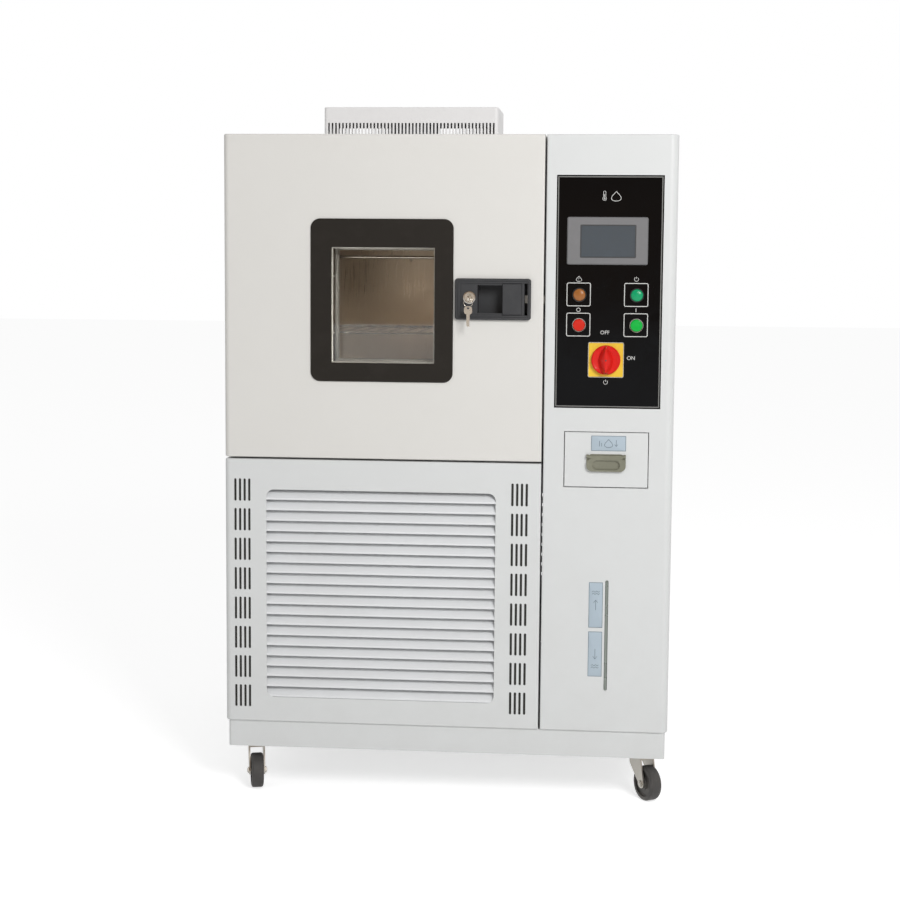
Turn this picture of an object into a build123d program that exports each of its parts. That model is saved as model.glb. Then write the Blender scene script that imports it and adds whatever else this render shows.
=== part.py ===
from build123d import *
from math import cos, radians, sin
import os

os.makedirs("parts", exist_ok=True)

# An upright climatic test cabinet on casters. All lengths are millimetres.
# X runs to the right as seen from the front, Y to the rear and Z up from the floor.
# The origin is on the floor, below the middle of the whole object.

# Cabinet
cabinet_width = 950
cabinet_depth = 900
door_width = 675.5
door_height = 680
machine_height = 570
base_height = 57
base_inset = 5
panel_gap = 4
left_round = 12
right_round = 17
edge_round = 3
sheet = 1.5
base_sheet = 3
base_flange = 44
door_depth = 62
seal_gap = 10

# Test space
cavity_width = 450
cavity_height = 500
cavity_depth = 450
duct_depth = 140
liner_sheet = 1.2
foam_wall = 85
baffle_slot = 46
shelf_heights = (170, 333)
shelf_rod = 5
shelf_wire = 3
shelf_wires = 13
rail_reach = 14
rail_width = 16
port_bore = 50
port_wall = 2
port_flange = 4
port_depth = 330

# Door
plug_reach = 22
plug_clearance = 8
gasket_width = 22
window_width = 301
window_height = 341
window_round = 20
view_width = 218
view_height = 242
window_drop = 345.5
view_shift_x = 2.5
view_shift_z = -10
window_proud = 4
sleeve_wall = 5
pane = 5
knuckle_radius = 6
hinge_pin_radius = 3.5
hinge_length = 70
hinge_leaf = 2.5
hinge_leaf_depth = 34
hinge_inset = 90

# Door latch and lock
latch_width = 158.5
latch_height = 86
latch_left = 491.5
latch_drop = 340.2
latch_proud = 10
latch_rim = 11
latch_sink = 2.5
lock_block = 34
recess_width = 51.5
recess_height = 58
recess_depth = 32
latch_wall = 2
paddle_width = 47
paddle_thickness = 6
paddle_slot = 6
paddle_height = 66.6
pivot_radius = 3
arm_reach = 22
arm_tip_radius = 2.5
bolt_thickness = 12
bolt_height = 16
bolt_nose = 3
plug_radius = 10.5
plug_length = 22
bow_radius = 8
bow_thickness = 2.2
bow_reach = 20
ring_radius = 9
ring_wire = 0.9
ring_drop = 1.2
spare_length = 34

# Controls
recess_left = 700.5
recess_drop = 83
panel_width = 221
panel_height = 482
panel_setback = 5
panel_thickness = 4
panel_overlap = 9
screen_width = 167
screen_height = 98
screen_left = 723
screen_drop = 169
screen_proud = 6
screen_body = 34
glass_width = 113.5
glass_height = 66.5
glass_left = 28
glass_drop = 16.5
lamp_columns = (750, 869)
lamp_rows = (329.5, 392)
bezel_radius = 15
bezel_height = 4
lens_radius = 11
lens_height = 5
button_radius = 10
button_proud = 5
button_travel = 3
button_stem = 5
switch_plate_width = 72
switch_plate_height = 71
switch_plate_thickness = 2.5
switch_x = 807
switch_drop = 464
knob_radius = 30.5
knob_base = 10
grip_width = 17
grip_height = 17
knob_stem = 8
switch_body = 46

# Water supply
drawer_width = 174
drawer_height = 115
drawer_left = 724
drawer_below_panel = 50.5
drawer_gap = 1.5
drawer_front = 14
tray_stay = 20
tray_height = 72
tray_wall = 2
drawer_travel = 150
pull_width = 82
pull_height = 36
pull_inset = 45.5
pull_plate = 2
bail_thickness = 5
bail_pin = 2.5
finger_width = 57
finger_height = 20
sight_x = 817
sight_top_drop = 928
sight_length = 237
sight_slot = 7
tube_radius = 7
tube_bore = 5.5
float_radius = 5.2
float_length = 12
tank_width = 150
tank_depth = 180
tank_wall = 3

# Machine compartment
louvre_left = 90
louvre_width = 490.5
louvre_height = 451
louvre_drop = 974.5
louvre_count = 20
louvre_depth = 17
louvre_sheet = 1.2
louvre_lip = 4
slot_length = 48.3
slot_width = 5
slot_pitch = 10
slots_in_row = 4
slot_rows = 8
slot_row_pitch = 64
left_slots_x = 38.1
right_slots_x = 630.8
compressor_radius = 82
compressor_height = 250
condenser_width = 360
condenser_height = 300
condenser_thickness = 60
condenser_fins = 30
condenser_setback = 130
compressor_inset = 250
compressor_setback = 520
plate_setback = 330
shroud_thickness = 30
fan_radius = 125
fan_blades = 5
fan_hub = 28
fan_gap = 5

# Air circulation
cover_width = 413
cover_depth = 176
cover_height = 98
cover_round = 8
cover_slots = 48
cover_slot_width = 4
cover_slot_length = 46
cover_slot_top = 61
motor_radius = 58
motor_height = 74
shaft_radius = 6
shaft_hole = 12
shaft_grip = 50
running_clearance = 0.05
wheel_radius_air = 56
wheel_height_air = 46
blower_blades = 20
blower_drop = 18
coil_tube = 5
coil_passes = 4
coil_pitch = 34
evaporator_height = 150
evaporator_thickness = 46
evaporator_fins = 22

# Casters
caster_height = 103
wheel_radius = 37.5
wheel_width = 26
wheel_round = 5
wheel_dish = 4
caster_inset_x = 52
caster_inset_front = 72
caster_inset_rear = 80
caster_plate = 66
plate_thickness = 3
race_radius = 19
race_height = 9
kingpin_radius = 5
fork_sheet = 3
fork_gap = 1.5
fork_trail = 24
axle_radius = 4
caster_angles = (-75, -57, -80, -66)

# Places of the main faces
drawer_drop = recess_drop + panel_height + drawer_below_panel
pull_top_drop = drawer_drop + pull_inset
side_seat = 0.3
left_reach = 2 * knuckle_radius
key_reach = latch_proud + bow_reach
front_reach = key_reach + bow_radius
spigot_length = 26
rear_reach = spigot_length
left_x = (left_reach - cabinet_width) / 2
right_x = left_x + cabinet_width
front_y = front_reach - (front_reach + cabinet_depth + rear_reach) / 2
rear_y = front_y + cabinet_depth
base_z = caster_height
machine_z = base_z + base_height
seam_z = machine_z + machine_height
door_z = seam_z + panel_gap
roof_z = door_z + door_height
door_right_x = left_x + door_width
column_x = door_right_x + panel_gap
column_width = right_x - column_x
mouth_y = front_y + door_depth + seal_gap
fold_depth = mouth_y - front_y

# Places of the test space
cavity_x = left_x + door_width / 2
cavity_z = door_z + door_height / 2
cavity_floor = cavity_z - cavity_height / 2
cavity_top = cavity_z + cavity_height / 2
liner_y = mouth_y + sheet
baffle_y = liner_y + cavity_depth
liner_back_y = baffle_y + duct_depth
fan_axis_y = baffle_y + duct_depth / 2
port_y = front_y + port_depth
foam_left = left_x + sheet
foam_right = column_x
foam_back_y = liner_back_y + liner_sheet + foam_wall


# Base: a folded steel tray, open underneath, with inward flanges and a flat deck. Under
# the flange at each corner sits a caster's plate with the race that its fork turns in.
base_width = cabinet_width - 2 * base_inset
base_depth = cabinet_depth - 2 * base_inset
base_x = left_x + cabinet_width / 2
base_y = front_y + cabinet_depth / 2
front_caster_y = front_y + caster_inset_front
rear_caster_y = rear_y - caster_inset_rear
caster_places = (
    (left_x + caster_inset_x, front_caster_y),
    (right_x - caster_inset_x, front_caster_y),
    (left_x + caster_inset_x, rear_caster_y),
    (right_x - caster_inset_x, rear_caster_y),
)
race_z = base_z - plate_thickness - race_height
with BuildPart() as base_frame:
    with BuildSketch(Plane.XY.offset(base_z)):
        with Locations((base_x, base_y)):
            RectangleRounded(base_width, base_depth, left_round - base_inset)
    extrude(amount=base_height)
    with BuildSketch(Plane.XY.offset(base_z + base_sheet)):
        with Locations((base_x, base_y)):
            Rectangle(base_width - 2 * base_sheet, base_depth - 2 * base_sheet)
    extrude(amount=base_height - 2 * base_sheet, mode=Mode.SUBTRACT)
    with BuildSketch(Plane.XY.offset(base_z)):
        with Locations((base_x, base_y)):
            Rectangle(base_width - 2 * base_flange, base_depth - 2 * base_flange)
    extrude(amount=base_sheet, mode=Mode.SUBTRACT)
    with Locations(*[(x, y, base_z) for x, y in caster_places]):
        Box(caster_plate, caster_plate, plate_thickness, align=(Align.CENTER, Align.CENTER, Align.MAX))
        with Locations((0, 0, -plate_thickness)):
            Cylinder(race_radius, race_height, align=(Align.CENTER, Align.CENTER, Align.MAX))
    with Locations(*[(x, y, race_z) for x, y in caster_places]):
        Cylinder(
            kingpin_radius + running_clearance,
            race_height + plate_thickness,
            align=(Align.CENTER, Align.CENTER, Align.MIN),
            mode=Mode.SUBTRACT,
        )
base_frame.part.label = "base_frame"
export_step(base_frame.part, "parts/base_frame.step")

# Four casters: a bent fork that turns in the race on its kingpin, and a wheel that runs
# on the fork's axle. Each fork stands at its own angle.
fork_shoulder = 16
nut_radius = axle_radius + 3
nut_height = 3
dish_inner = axle_radius + 9
dish_outer = wheel_radius - 9
crown_z = race_z - side_seat
fork_inner = wheel_width + 2 * fork_gap
fork_outer = fork_inner + 2 * fork_sheet
crown_back = race_radius + 2
boss_radius = axle_radius + 6
for number, ((x, y), angle) in enumerate(zip(caster_places, caster_angles), start=1):
    trail_x = cos(radians(angle))
    trail_y = sin(radians(angle))
    side = Plane(origin=(x, y, 0), x_dir=(trail_x, trail_y, 0), z_dir=(trail_y, -trail_x, 0))
    with BuildPart() as fork:
        with BuildSketch(side):
            with BuildLine():
                top = Line((-crown_back, crown_z), (crown_back, crown_z))
                Line(top @ 1, (fork_trail + boss_radius, wheel_radius))
                Line(top @ 0, (-crown_back, crown_z - fork_shoulder))
                Line((-crown_back, crown_z - fork_shoulder), (fork_trail - boss_radius, wheel_radius))
                ThreePointArc(
                    (fork_trail - boss_radius, wheel_radius),
                    (fork_trail, wheel_radius - boss_radius),
                    (fork_trail + boss_radius, wheel_radius),
                )
            make_face()
        extrude(amount=fork_outer / 2, both=True)
        with BuildSketch(side):
            with Locations((0, (crown_z - fork_sheet) / 2)):
                Rectangle(4 * wheel_radius, crown_z - fork_sheet)
        extrude(amount=fork_inner / 2, both=True, mode=Mode.SUBTRACT)
        with BuildSketch(side):
            with Locations((fork_trail, wheel_radius)):
                Circle(axle_radius)
        extrude(amount=fork_outer / 2 + nut_height + 1, both=True)
        with BuildSketch(side.offset(fork_outer / 2)):
            with Locations((fork_trail, wheel_radius)):
                RegularPolygon(nut_radius, 6)
        extrude(amount=nut_height)
        with BuildSketch(side.offset(-fork_outer / 2)):
            with Locations((fork_trail, wheel_radius)):
                RegularPolygon(nut_radius, 6)
        extrude(amount=-nut_height)
        with Locations(Location((x, y, crown_z))):
            Cylinder(
                kingpin_radius,
                race_height + plate_thickness / 2,
                align=(Align.CENTER, Align.CENTER, Align.MIN),
            )
    fork.part.label = f"caster_fork_{number}"
    export_step(fork.part, f"parts/caster_fork_{number}.step")

    centre = side.from_local_coords(Vector(fork_trail, wheel_radius, 0))
    section = Plane(origin=centre, x_dir=side.z_dir, z_dir=-side.x_dir)
    with BuildPart() as wheel:
        with BuildSketch(section):
            with Locations((0, wheel_radius / 2)):
                tread = Rectangle(wheel_width, wheel_radius)
            fillet(tread.vertices().group_by(Axis.Z)[-1], wheel_round)
            for face_side in (-1, 1):
                with Locations((face_side * wheel_width / 2, (dish_outer + dish_inner) / 2)):
                    Rectangle(2 * wheel_dish, dish_outer - dish_inner, mode=Mode.SUBTRACT)
            with Locations((0, 0)):
                Rectangle(wheel_width, 2 * (axle_radius + running_clearance), mode=Mode.SUBTRACT)
        revolve(axis=Axis(centre, side.z_dir))
    wheel.part.label = f"caster_wheel_{number}"
    export_step(wheel.part, f"parts/caster_wheel_{number}.step")


def block(x_low, x_high, y_low, y_high, z_low, z_high, mode=Mode.ADD):
    """A box between two opposite corners, added to the piece being built."""
    with Locations((x_low, y_low, z_low)):
        Box(
            x_high - x_low,
            y_high - y_low,
            z_high - z_low,
            align=(Align.MIN, Align.MIN, Align.MIN),
            mode=mode,
        )


def front_plane(depth=0):
    """A drawing plane parallel to the front, facing the user, that far behind the front face."""
    return Plane(origin=(0, front_y + depth, 0), x_dir=(1, 0, 0), z_dir=(0, -1, 0))


# Front panel of the control column: one folded sheet with a widely rounded right edge.
# It has the openings for the control panel, the water drawer and the level sight. Behind
# the drawer's opening sit a flange and two angles that carry the tray's edges from below.
panel_x = left_x + recess_left + panel_width / 2
panel_z = roof_z - recess_drop - panel_height / 2
drawer_x = left_x + drawer_left + drawer_width / 2
drawer_z = roof_z - drawer_drop - drawer_height / 2
tube_x = left_x + sight_x
sight_z = roof_z - sight_top_drop - sight_length / 2
tray_side_gap = 14
tray_lift = 20
tray_width = drawer_width - 2 * tray_side_gap
tray_low_z = drawer_z - drawer_height / 2 + tray_lift
tray_back_y = front_y + drawer_front + drawer_travel + tray_stay
runner_half = drawer_width / 2 + drawer_gap
runner_flange = 15
runner_ledge = 8
runner_end = 6
runner_low_z = tray_low_z - side_seat - sheet
runner_back_y = tray_back_y + runner_end
with BuildPart() as column_panel:
    block(column_x, right_x, front_y, mouth_y, machine_z, roof_z)
    corners = column_panel.edges().filter_by(Axis.Z).group_by(Axis.Y)[0].sort_by(Axis.X)
    fillet(corners[-1], right_round)
    front_face = column_panel.faces().sort_by(Axis.Y)[0]
    fillet(front_face.edges().sort_by(Axis.X)[:-1], edge_round)
    offset(amount=-sheet, openings=column_panel.faces().sort_by(Axis.Y)[-1])
    with BuildSketch(front_plane()):
        with Locations((panel_x, panel_z)):
            Rectangle(panel_width, panel_height)
        with Locations((drawer_x, drawer_z)):
            Rectangle(drawer_width + 2 * drawer_gap, drawer_height + 2 * drawer_gap)
        with Locations((tube_x, sight_z)):
            SlotOverall(sight_length, sight_slot, rotation=90)
    extrude(amount=-sheet, mode=Mode.SUBTRACT)
    with BuildSketch(front_plane(sheet)):
        with Locations((drawer_x, drawer_z)):
            Rectangle(2 * (runner_half + runner_flange), drawer_height + 2 * runner_flange)
            Rectangle(2 * runner_half, drawer_height + 2 * drawer_gap, mode=Mode.SUBTRACT)
    extrude(amount=-sheet)
    for side_of in (-1, 1):
        wall_x = drawer_x + side_of * (runner_half + sheet / 2)
        ledge_x = drawer_x + side_of * (tray_width / 2 - runner_ledge)
        block(
            wall_x - sheet / 2,
            wall_x + sheet / 2,
            front_y + sheet,
            runner_back_y,
            runner_low_z,
            tray_low_z + tray_height / 2,
        )
        block(
            min(wall_x, ledge_x),
            max(wall_x, ledge_x),
            front_y + drawer_front + side_seat,
            runner_back_y,
            runner_low_z,
            runner_low_z + sheet,
        )
column_panel.part.label = "column_panel"
export_step(column_panel.part, "parts/column_panel.step")

# Front panel of the machine compartment, rounded at its left edge. Air enters through
# the large louvre opening and through the columns of slots on both sides of it.
louvre_x = left_x + louvre_left + louvre_width / 2
louvre_z = roof_z - louvre_drop
louvre_corner = 16
with BuildPart() as machine_panel:
    block(left_x, door_right_x, front_y, mouth_y, machine_z, seam_z)
    corners = machine_panel.edges().filter_by(Axis.Z).group_by(Axis.Y)[0].sort_by(Axis.X)
    fillet(corners[0], left_round)
    front_face = machine_panel.faces().sort_by(Axis.Y)[0]
    fillet(front_face.edges().sort_by(Axis.X)[1:], edge_round)
    offset(amount=-sheet, openings=machine_panel.faces().sort_by(Axis.Y)[-1])
    with BuildSketch(front_plane()):
        with Locations((louvre_x, louvre_z)):
            RectangleRounded(louvre_width, louvre_height, louvre_corner)
        for slots_x in (left_slots_x, right_slots_x):
            with Locations((left_x + slots_x, louvre_z)):
                with GridLocations(slot_pitch, slot_row_pitch, slots_in_row, slot_rows):
                    SlotOverall(slot_length, slot_width, rotation=90)
    extrude(amount=-sheet, mode=Mode.SUBTRACT)
machine_panel.part.label = "machine_panel"
export_step(machine_panel.part, "parts/machine_panel.step")

# Louvre grille behind that opening: a flanged frame with two cheeks that carry bent
# blades. Each blade starts at the front with a short lip and leans back and up.
louvre_pitch = louvre_height / louvre_count
cheek_gap = 4
louvre_flange = 14
cheek_x = louvre_width / 2 + cheek_gap
blade_rise = 0.95 * louvre_pitch
blade_overlap = 1.1 * louvre_pitch
grille_y = front_y + sheet
blade_back_y = grille_y + louvre_depth
with BuildPart() as louvre_grille:
    with BuildSketch(front_plane(sheet)):
        with Locations((louvre_x, louvre_z)):
            Rectangle(louvre_width + 2 * louvre_flange, louvre_height + 2 * louvre_flange)
            Rectangle(2 * cheek_x, louvre_height, mode=Mode.SUBTRACT)
    extrude(amount=-louvre_sheet)
    for side_x in (-cheek_x - louvre_sheet, cheek_x):
        block(
            louvre_x + side_x,
            louvre_x + side_x + louvre_sheet,
            grille_y,
            blade_back_y + louvre_sheet,
            louvre_z - louvre_height / 2,
            louvre_z + louvre_height / 2 + louvre_flange,
        )
    for row in range(louvre_count):
        low_z = louvre_z - louvre_height / 2 + row * louvre_pitch
        blade_y = grille_y + louvre_sheet / 2
        with BuildSketch(Plane.YZ.offset(louvre_x - cheek_x)):
            with BuildLine() as bend:
                FilletPolyline(
                    (blade_y, low_z + louvre_sheet / 2),
                    (blade_y, low_z + louvre_lip),
                    (blade_back_y, low_z + blade_rise),
                    (blade_back_y, low_z + blade_overlap),
                    radius=louvre_lip / 2,
                )
            trace(bend.wires(), louvre_sheet)
        extrude(amount=2 * cheek_x)
louvre_grille.part.label = "louvre_grille"
export_step(louvre_grille.part, "parts/louvre_grille.step")

# Outer skins of the body: two side panels, the roof and the rear panel.
port_sleeve_radius = port_bore / 2 + port_wall
port_hole = port_sleeve_radius + running_clearance
port_axis = Plane(origin=(left_x, port_y, cavity_z), x_dir=(0, 1, 0), z_dir=(1, 0, 0))
with BuildPart() as left_side_panel:
    block(left_x, left_x + sheet, mouth_y, rear_y, machine_z, roof_z)
    with BuildSketch(port_axis):
        Circle(port_hole)
    extrude(amount=sheet, mode=Mode.SUBTRACT)
left_side_panel.part.label = "left_side_panel"
export_step(left_side_panel.part, "parts/left_side_panel.step")

with BuildPart() as right_side_panel:
    block(right_x - sheet, right_x, mouth_y, rear_y, machine_z, roof_z)
right_side_panel.part.label = "right_side_panel"
export_step(right_side_panel.part, "parts/right_side_panel.step")

with BuildPart() as roof_panel:
    block(left_x + sheet, right_x - sheet, mouth_y, rear_y, roof_z - sheet, roof_z)
    with BuildSketch(Plane.XY.offset(roof_z)):
        with Locations((cavity_x, fan_axis_y)):
            Circle(shaft_hole)
    extrude(amount=-sheet, mode=Mode.SUBTRACT)
roof_panel.part.label = "roof_panel"
export_step(roof_panel.part, "parts/roof_panel.step")

# Rear panel with two fields of air slots and the holes for the drain and the cable.
vent_rows = 9
vent_pitch = 26
vent_length = 150
vent_height = 8
vent_spread = 330
vent_z = machine_z + machine_height / 2
spigot_radius = 10
spigot_flange = 4
spigot_bore = 7.5
spigot_x = cavity_x
spigot_z = machine_z + 60
gland_radius = 14
gland_bore = 7
gland_length = 22
gland_x = right_x - 120
gland_z = machine_z + 90
rear_plane = Plane(origin=(0, rear_y, 0), x_dir=(-1, 0, 0), z_dir=(0, 1, 0))
with BuildPart() as rear_panel:
    block(left_x + sheet, right_x - sheet, rear_y - sheet, rear_y, machine_z, roof_z - sheet)
    with BuildSketch(rear_plane):
        with Locations((-base_x, vent_z)):
            with GridLocations(vent_spread, vent_pitch, 2, vent_rows):
                SlotOverall(vent_length, vent_height)
    extrude(amount=-sheet, mode=Mode.SUBTRACT)
    with BuildSketch(rear_plane):
        with Locations((-spigot_x, spigot_z)):
            Circle(spigot_bore)
        with Locations((-gland_x, gland_z)):
            Circle(gland_bore)
    extrude(amount=-sheet, mode=Mode.SUBTRACT)
rear_panel.part.label = "rear_panel"
export_step(rear_panel.part, "parts/rear_panel.step")

# Fittings on the rear panel: the flanged drain spigot and the hexagonal cable gland.
with BuildPart() as rear_fittings:
    with BuildSketch(rear_plane):
        with Locations((-spigot_x, spigot_z)):
            Circle(spigot_radius + spigot_flange)
    extrude(amount=spigot_flange)
    with BuildSketch(rear_plane):
        with Locations((-spigot_x, spigot_z)):
            Circle(spigot_radius)
    extrude(amount=spigot_length)
    with BuildSketch(rear_plane):
        with Locations((-gland_x, gland_z)):
            RegularPolygon(gland_radius, 6)
    extrude(amount=gland_length)
    with BuildSketch(rear_plane):
        with Locations((-spigot_x, spigot_z)):
            Circle(spigot_bore)
        with Locations((-gland_x, gland_z)):
            Circle(gland_bore)
    extrude(amount=spigot_length, mode=Mode.SUBTRACT)
rear_fittings.part.label = "rear_fittings"
export_step(rear_fittings.part, "parts/rear_fittings.step")

# Mouth frame: the plate round the test space's mouth, with the partition that stands
# between the test space and the control column, and the floor under the insulation.
with BuildPart() as mouth_frame:
    block(left_x + sheet, column_x, mouth_y, liner_y, door_z, roof_z - sheet)
    block(column_x, column_x + sheet, mouth_y, rear_y - sheet, machine_z, roof_z - sheet)
    block(left_x + sheet, column_x, liner_y, foam_back_y, door_z, door_z + sheet)
    with BuildSketch(front_plane(fold_depth)):
        with Locations((cavity_x, cavity_z)):
            Rectangle(cavity_width, cavity_height)
    extrude(amount=-sheet, mode=Mode.SUBTRACT)
mouth_frame.part.label = "mouth_frame"
export_step(mouth_frame.part, "parts/mouth_frame.step")

# Stainless liner of the test space, open at the front, with ledges for the shelves.
cavity_left = cavity_x - cavity_width / 2
cavity_right = cavity_x + cavity_width / 2
rail_setback = 14
rail_front_y = liner_y + plug_reach + rail_setback
rail_sheet = 2
with BuildPart() as cavity_liner:
    block(
        cavity_left - liner_sheet,
        cavity_right + liner_sheet,
        liner_y,
        liner_back_y + liner_sheet,
        cavity_floor - liner_sheet,
        cavity_top + liner_sheet,
    )
    block(cavity_left, cavity_right, liner_y, liner_back_y, cavity_floor, cavity_top, Mode.SUBTRACT)
    for height in shelf_heights:
        for inner_x, step in ((cavity_left, rail_reach), (cavity_right, -rail_reach)):
            block(
                min(inner_x, inner_x + step),
                max(inner_x, inner_x + step),
                rail_front_y,
                baffle_y,
                cavity_floor + height - rail_sheet,
                cavity_floor + height,
            )
            block(
                min(inner_x, inner_x + step / rail_reach * rail_sheet),
                max(inner_x, inner_x + step / rail_reach * rail_sheet),
                rail_front_y,
                baffle_y,
                cavity_floor + height - rail_width,
                cavity_floor + height,
            )
    with BuildSketch(Plane.XY.offset(cavity_top + liner_sheet)):
        with Locations((cavity_x, fan_axis_y)):
            Circle(shaft_hole)
    extrude(amount=-liner_sheet, mode=Mode.SUBTRACT)
    with BuildSketch(port_axis):
        Circle(port_hole)
    extrude(amount=cavity_left - left_x, mode=Mode.SUBTRACT)
cavity_liner.part.label = "cavity_liner"
export_step(cavity_liner.part, "parts/cavity_liner.step")

# Rigid foam that fills the space between the liner and the outer skins.
with BuildPart() as insulation:
    block(foam_left, foam_right, liner_y, foam_back_y, door_z + sheet, roof_z - sheet)
    block(
        cavity_left - liner_sheet,
        cavity_right + liner_sheet,
        liner_y,
        liner_back_y + liner_sheet,
        cavity_floor - liner_sheet,
        cavity_top + liner_sheet,
        Mode.SUBTRACT,
    )
    with BuildSketch(Plane.XY.offset(roof_z)):
        with Locations((cavity_x, fan_axis_y)):
            Circle(shaft_hole)
    extrude(amount=cavity_top - roof_z, mode=Mode.SUBTRACT)
    with BuildSketch(port_axis):
        Circle(port_hole)
    extrude(amount=cavity_left - left_x, mode=Mode.SUBTRACT)
insulation.part.label = "insulation"
export_step(insulation.part, "parts/insulation.step")

# Sleeve of the cable port through the left wall, with its outer flange.
port_rim = 9
port_flange_radius = port_sleeve_radius + port_rim
with BuildPart() as port_sleeve:
    with BuildSketch(port_axis):
        Circle(port_sleeve_radius)
    extrude(amount=cavity_left - left_x)
    with BuildSketch(port_axis):
        Circle(port_flange_radius)
    extrude(amount=-port_flange)
    with BuildSketch(port_axis.offset(-port_flange)):
        Circle(port_bore / 2)
    extrude(amount=port_flange + cavity_left - left_x, mode=Mode.SUBTRACT)
port_sleeve.part.label = "port_sleeve"
export_step(port_sleeve.part, "parts/port_sleeve.step")

# Air duct panel at the back of the test space, with outlet slots above and return
# slots below, and the sensor probe that stands out of it near the top.
duct_slots = 14
duct_slot_pitch = 28
duct_slot_width = 12
probe_radius = 2.5
probe_reach = 34
probe_inset = 30
probe_drop = 96
probe_x = cavity_left + probe_inset
probe_z = cavity_top - probe_drop
baffle_plane = front_plane(baffle_y - front_y)
with BuildPart() as duct_panel:
    block(cavity_left, cavity_right, baffle_y, baffle_y + liner_sheet, cavity_floor, cavity_top)
    with BuildSketch(baffle_plane):
        for slot_z in (cavity_top - baffle_slot, cavity_floor + baffle_slot):
            with Locations((cavity_x, slot_z)):
                with GridLocations(duct_slot_pitch, 1, duct_slots, 1):
                    SlotOverall(baffle_slot, duct_slot_width, rotation=90)
    extrude(amount=-liner_sheet, mode=Mode.SUBTRACT)
    with BuildSketch(baffle_plane):
        with Locations((probe_x, probe_z)):
            Circle(probe_radius)
    extrude(amount=probe_reach)
duct_panel.part.label = "duct_panel"
export_step(duct_panel.part, "parts/duct_panel.step")

# Two wire shelves that lie on the liner's ledges: a rod frame with wires welded on.
shelf_play = 3
shelf_back_gap = 12
shelf_width = cavity_width - 2 * shelf_play
shelf_front_y = rail_front_y + 2 * shelf_play
shelf_back_y = baffle_y - shelf_back_gap
shelf_length = shelf_back_y - shelf_front_y
wire_pitch = shelf_width / (shelf_wires + 1)
rod = shelf_rod / 2
wire = shelf_wire / 2
with BuildPart() as wire_shelves:
    for height in shelf_heights:
        rod_z = cavity_floor + height + rod
        with BuildLine(Plane.XY.offset(rod_z)) as rim:
            FilletPolyline(
                (cavity_x - shelf_width / 2 + rod, shelf_front_y + rod),
                (cavity_x + shelf_width / 2 - rod, shelf_front_y + rod),
                (cavity_x + shelf_width / 2 - rod, shelf_back_y - rod),
                (cavity_x - shelf_width / 2 + rod, shelf_back_y - rod),
                radius=3 * shelf_rod,
                close=True,
            )
        with BuildSketch(Plane(origin=rim.line @ 0, z_dir=rim.line % 0)):
            RegularPolygon(rod, 10, major_radius=False)
        sweep(path=rim.line)
        with BuildSketch(front_plane(shelf_front_y + rod - front_y)):
            with Locations((cavity_x, rod_z + rod)):
                with GridLocations(wire_pitch, 1, shelf_wires, 1):
                    RegularPolygon(wire, 8, major_radius=False)
        extrude(amount=-shelf_length + shelf_rod)
wire_shelves.part.label = "wire_shelves"
export_step(wire_shelves.part, "parts/wire_shelves.step")

# Circulation motor: it stands on the roof and holds the top of the fan shaft.
motor_flange = 6
motor_round = 10
flange_size = 136
shaft_end_gap = 2
with BuildPart() as circulation_motor:
    with Locations((cavity_x, fan_axis_y, roof_z)):
        Box(flange_size, flange_size, motor_flange, align=(Align.CENTER, Align.CENTER, Align.MIN))
        Cylinder(motor_radius, motor_height, align=(Align.CENTER, Align.CENTER, Align.MIN))
    fillet(circulation_motor.faces().sort_by(Axis.Z)[-1].edges(), motor_round)
    with Locations((cavity_x, fan_axis_y, roof_z)):
        Cylinder(
            shaft_radius + running_clearance,
            shaft_grip + shaft_end_gap,
            align=(Align.CENTER, Align.CENTER, Align.MIN),
            mode=Mode.SUBTRACT,
        )
circulation_motor.part.label = "circulation_motor"
export_step(circulation_motor.part, "parts/circulation_motor.step")

# Cover over the motor: a folded steel box, open below, with a comb of air slots.
cover_y = fan_axis_y
slot_margin = 9.5
cover_slot_pitch = (cover_width - 2 * slot_margin - cover_slot_width) / (cover_slots - 1)
cover_slot_z = roof_z + cover_slot_top - cover_slot_length / 2
with BuildPart() as motor_cover:
    with Locations((cavity_x, cover_y, roof_z)):
        Box(cover_width, cover_depth, cover_height, align=(Align.CENTER, Align.CENTER, Align.MIN))
    fillet(motor_cover.edges().filter_by(Axis.Z), cover_round)
    fillet(motor_cover.faces().sort_by(Axis.Z)[-1].edges(), edge_round)
    offset(amount=-sheet, openings=motor_cover.faces().sort_by(Axis.Z)[0])
    with BuildSketch(front_plane(cover_y - cover_depth / 2 - front_y)):
        with Locations((cavity_x, cover_slot_z)):
            with GridLocations(cover_slot_pitch, 1, cover_slots, 1):
                Rectangle(cover_slot_width, cover_slot_length)
    extrude(amount=-cover_depth, mode=Mode.SUBTRACT)
motor_cover.part.label = "motor_cover"
export_step(motor_cover.part, "parts/motor_cover.step")

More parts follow.
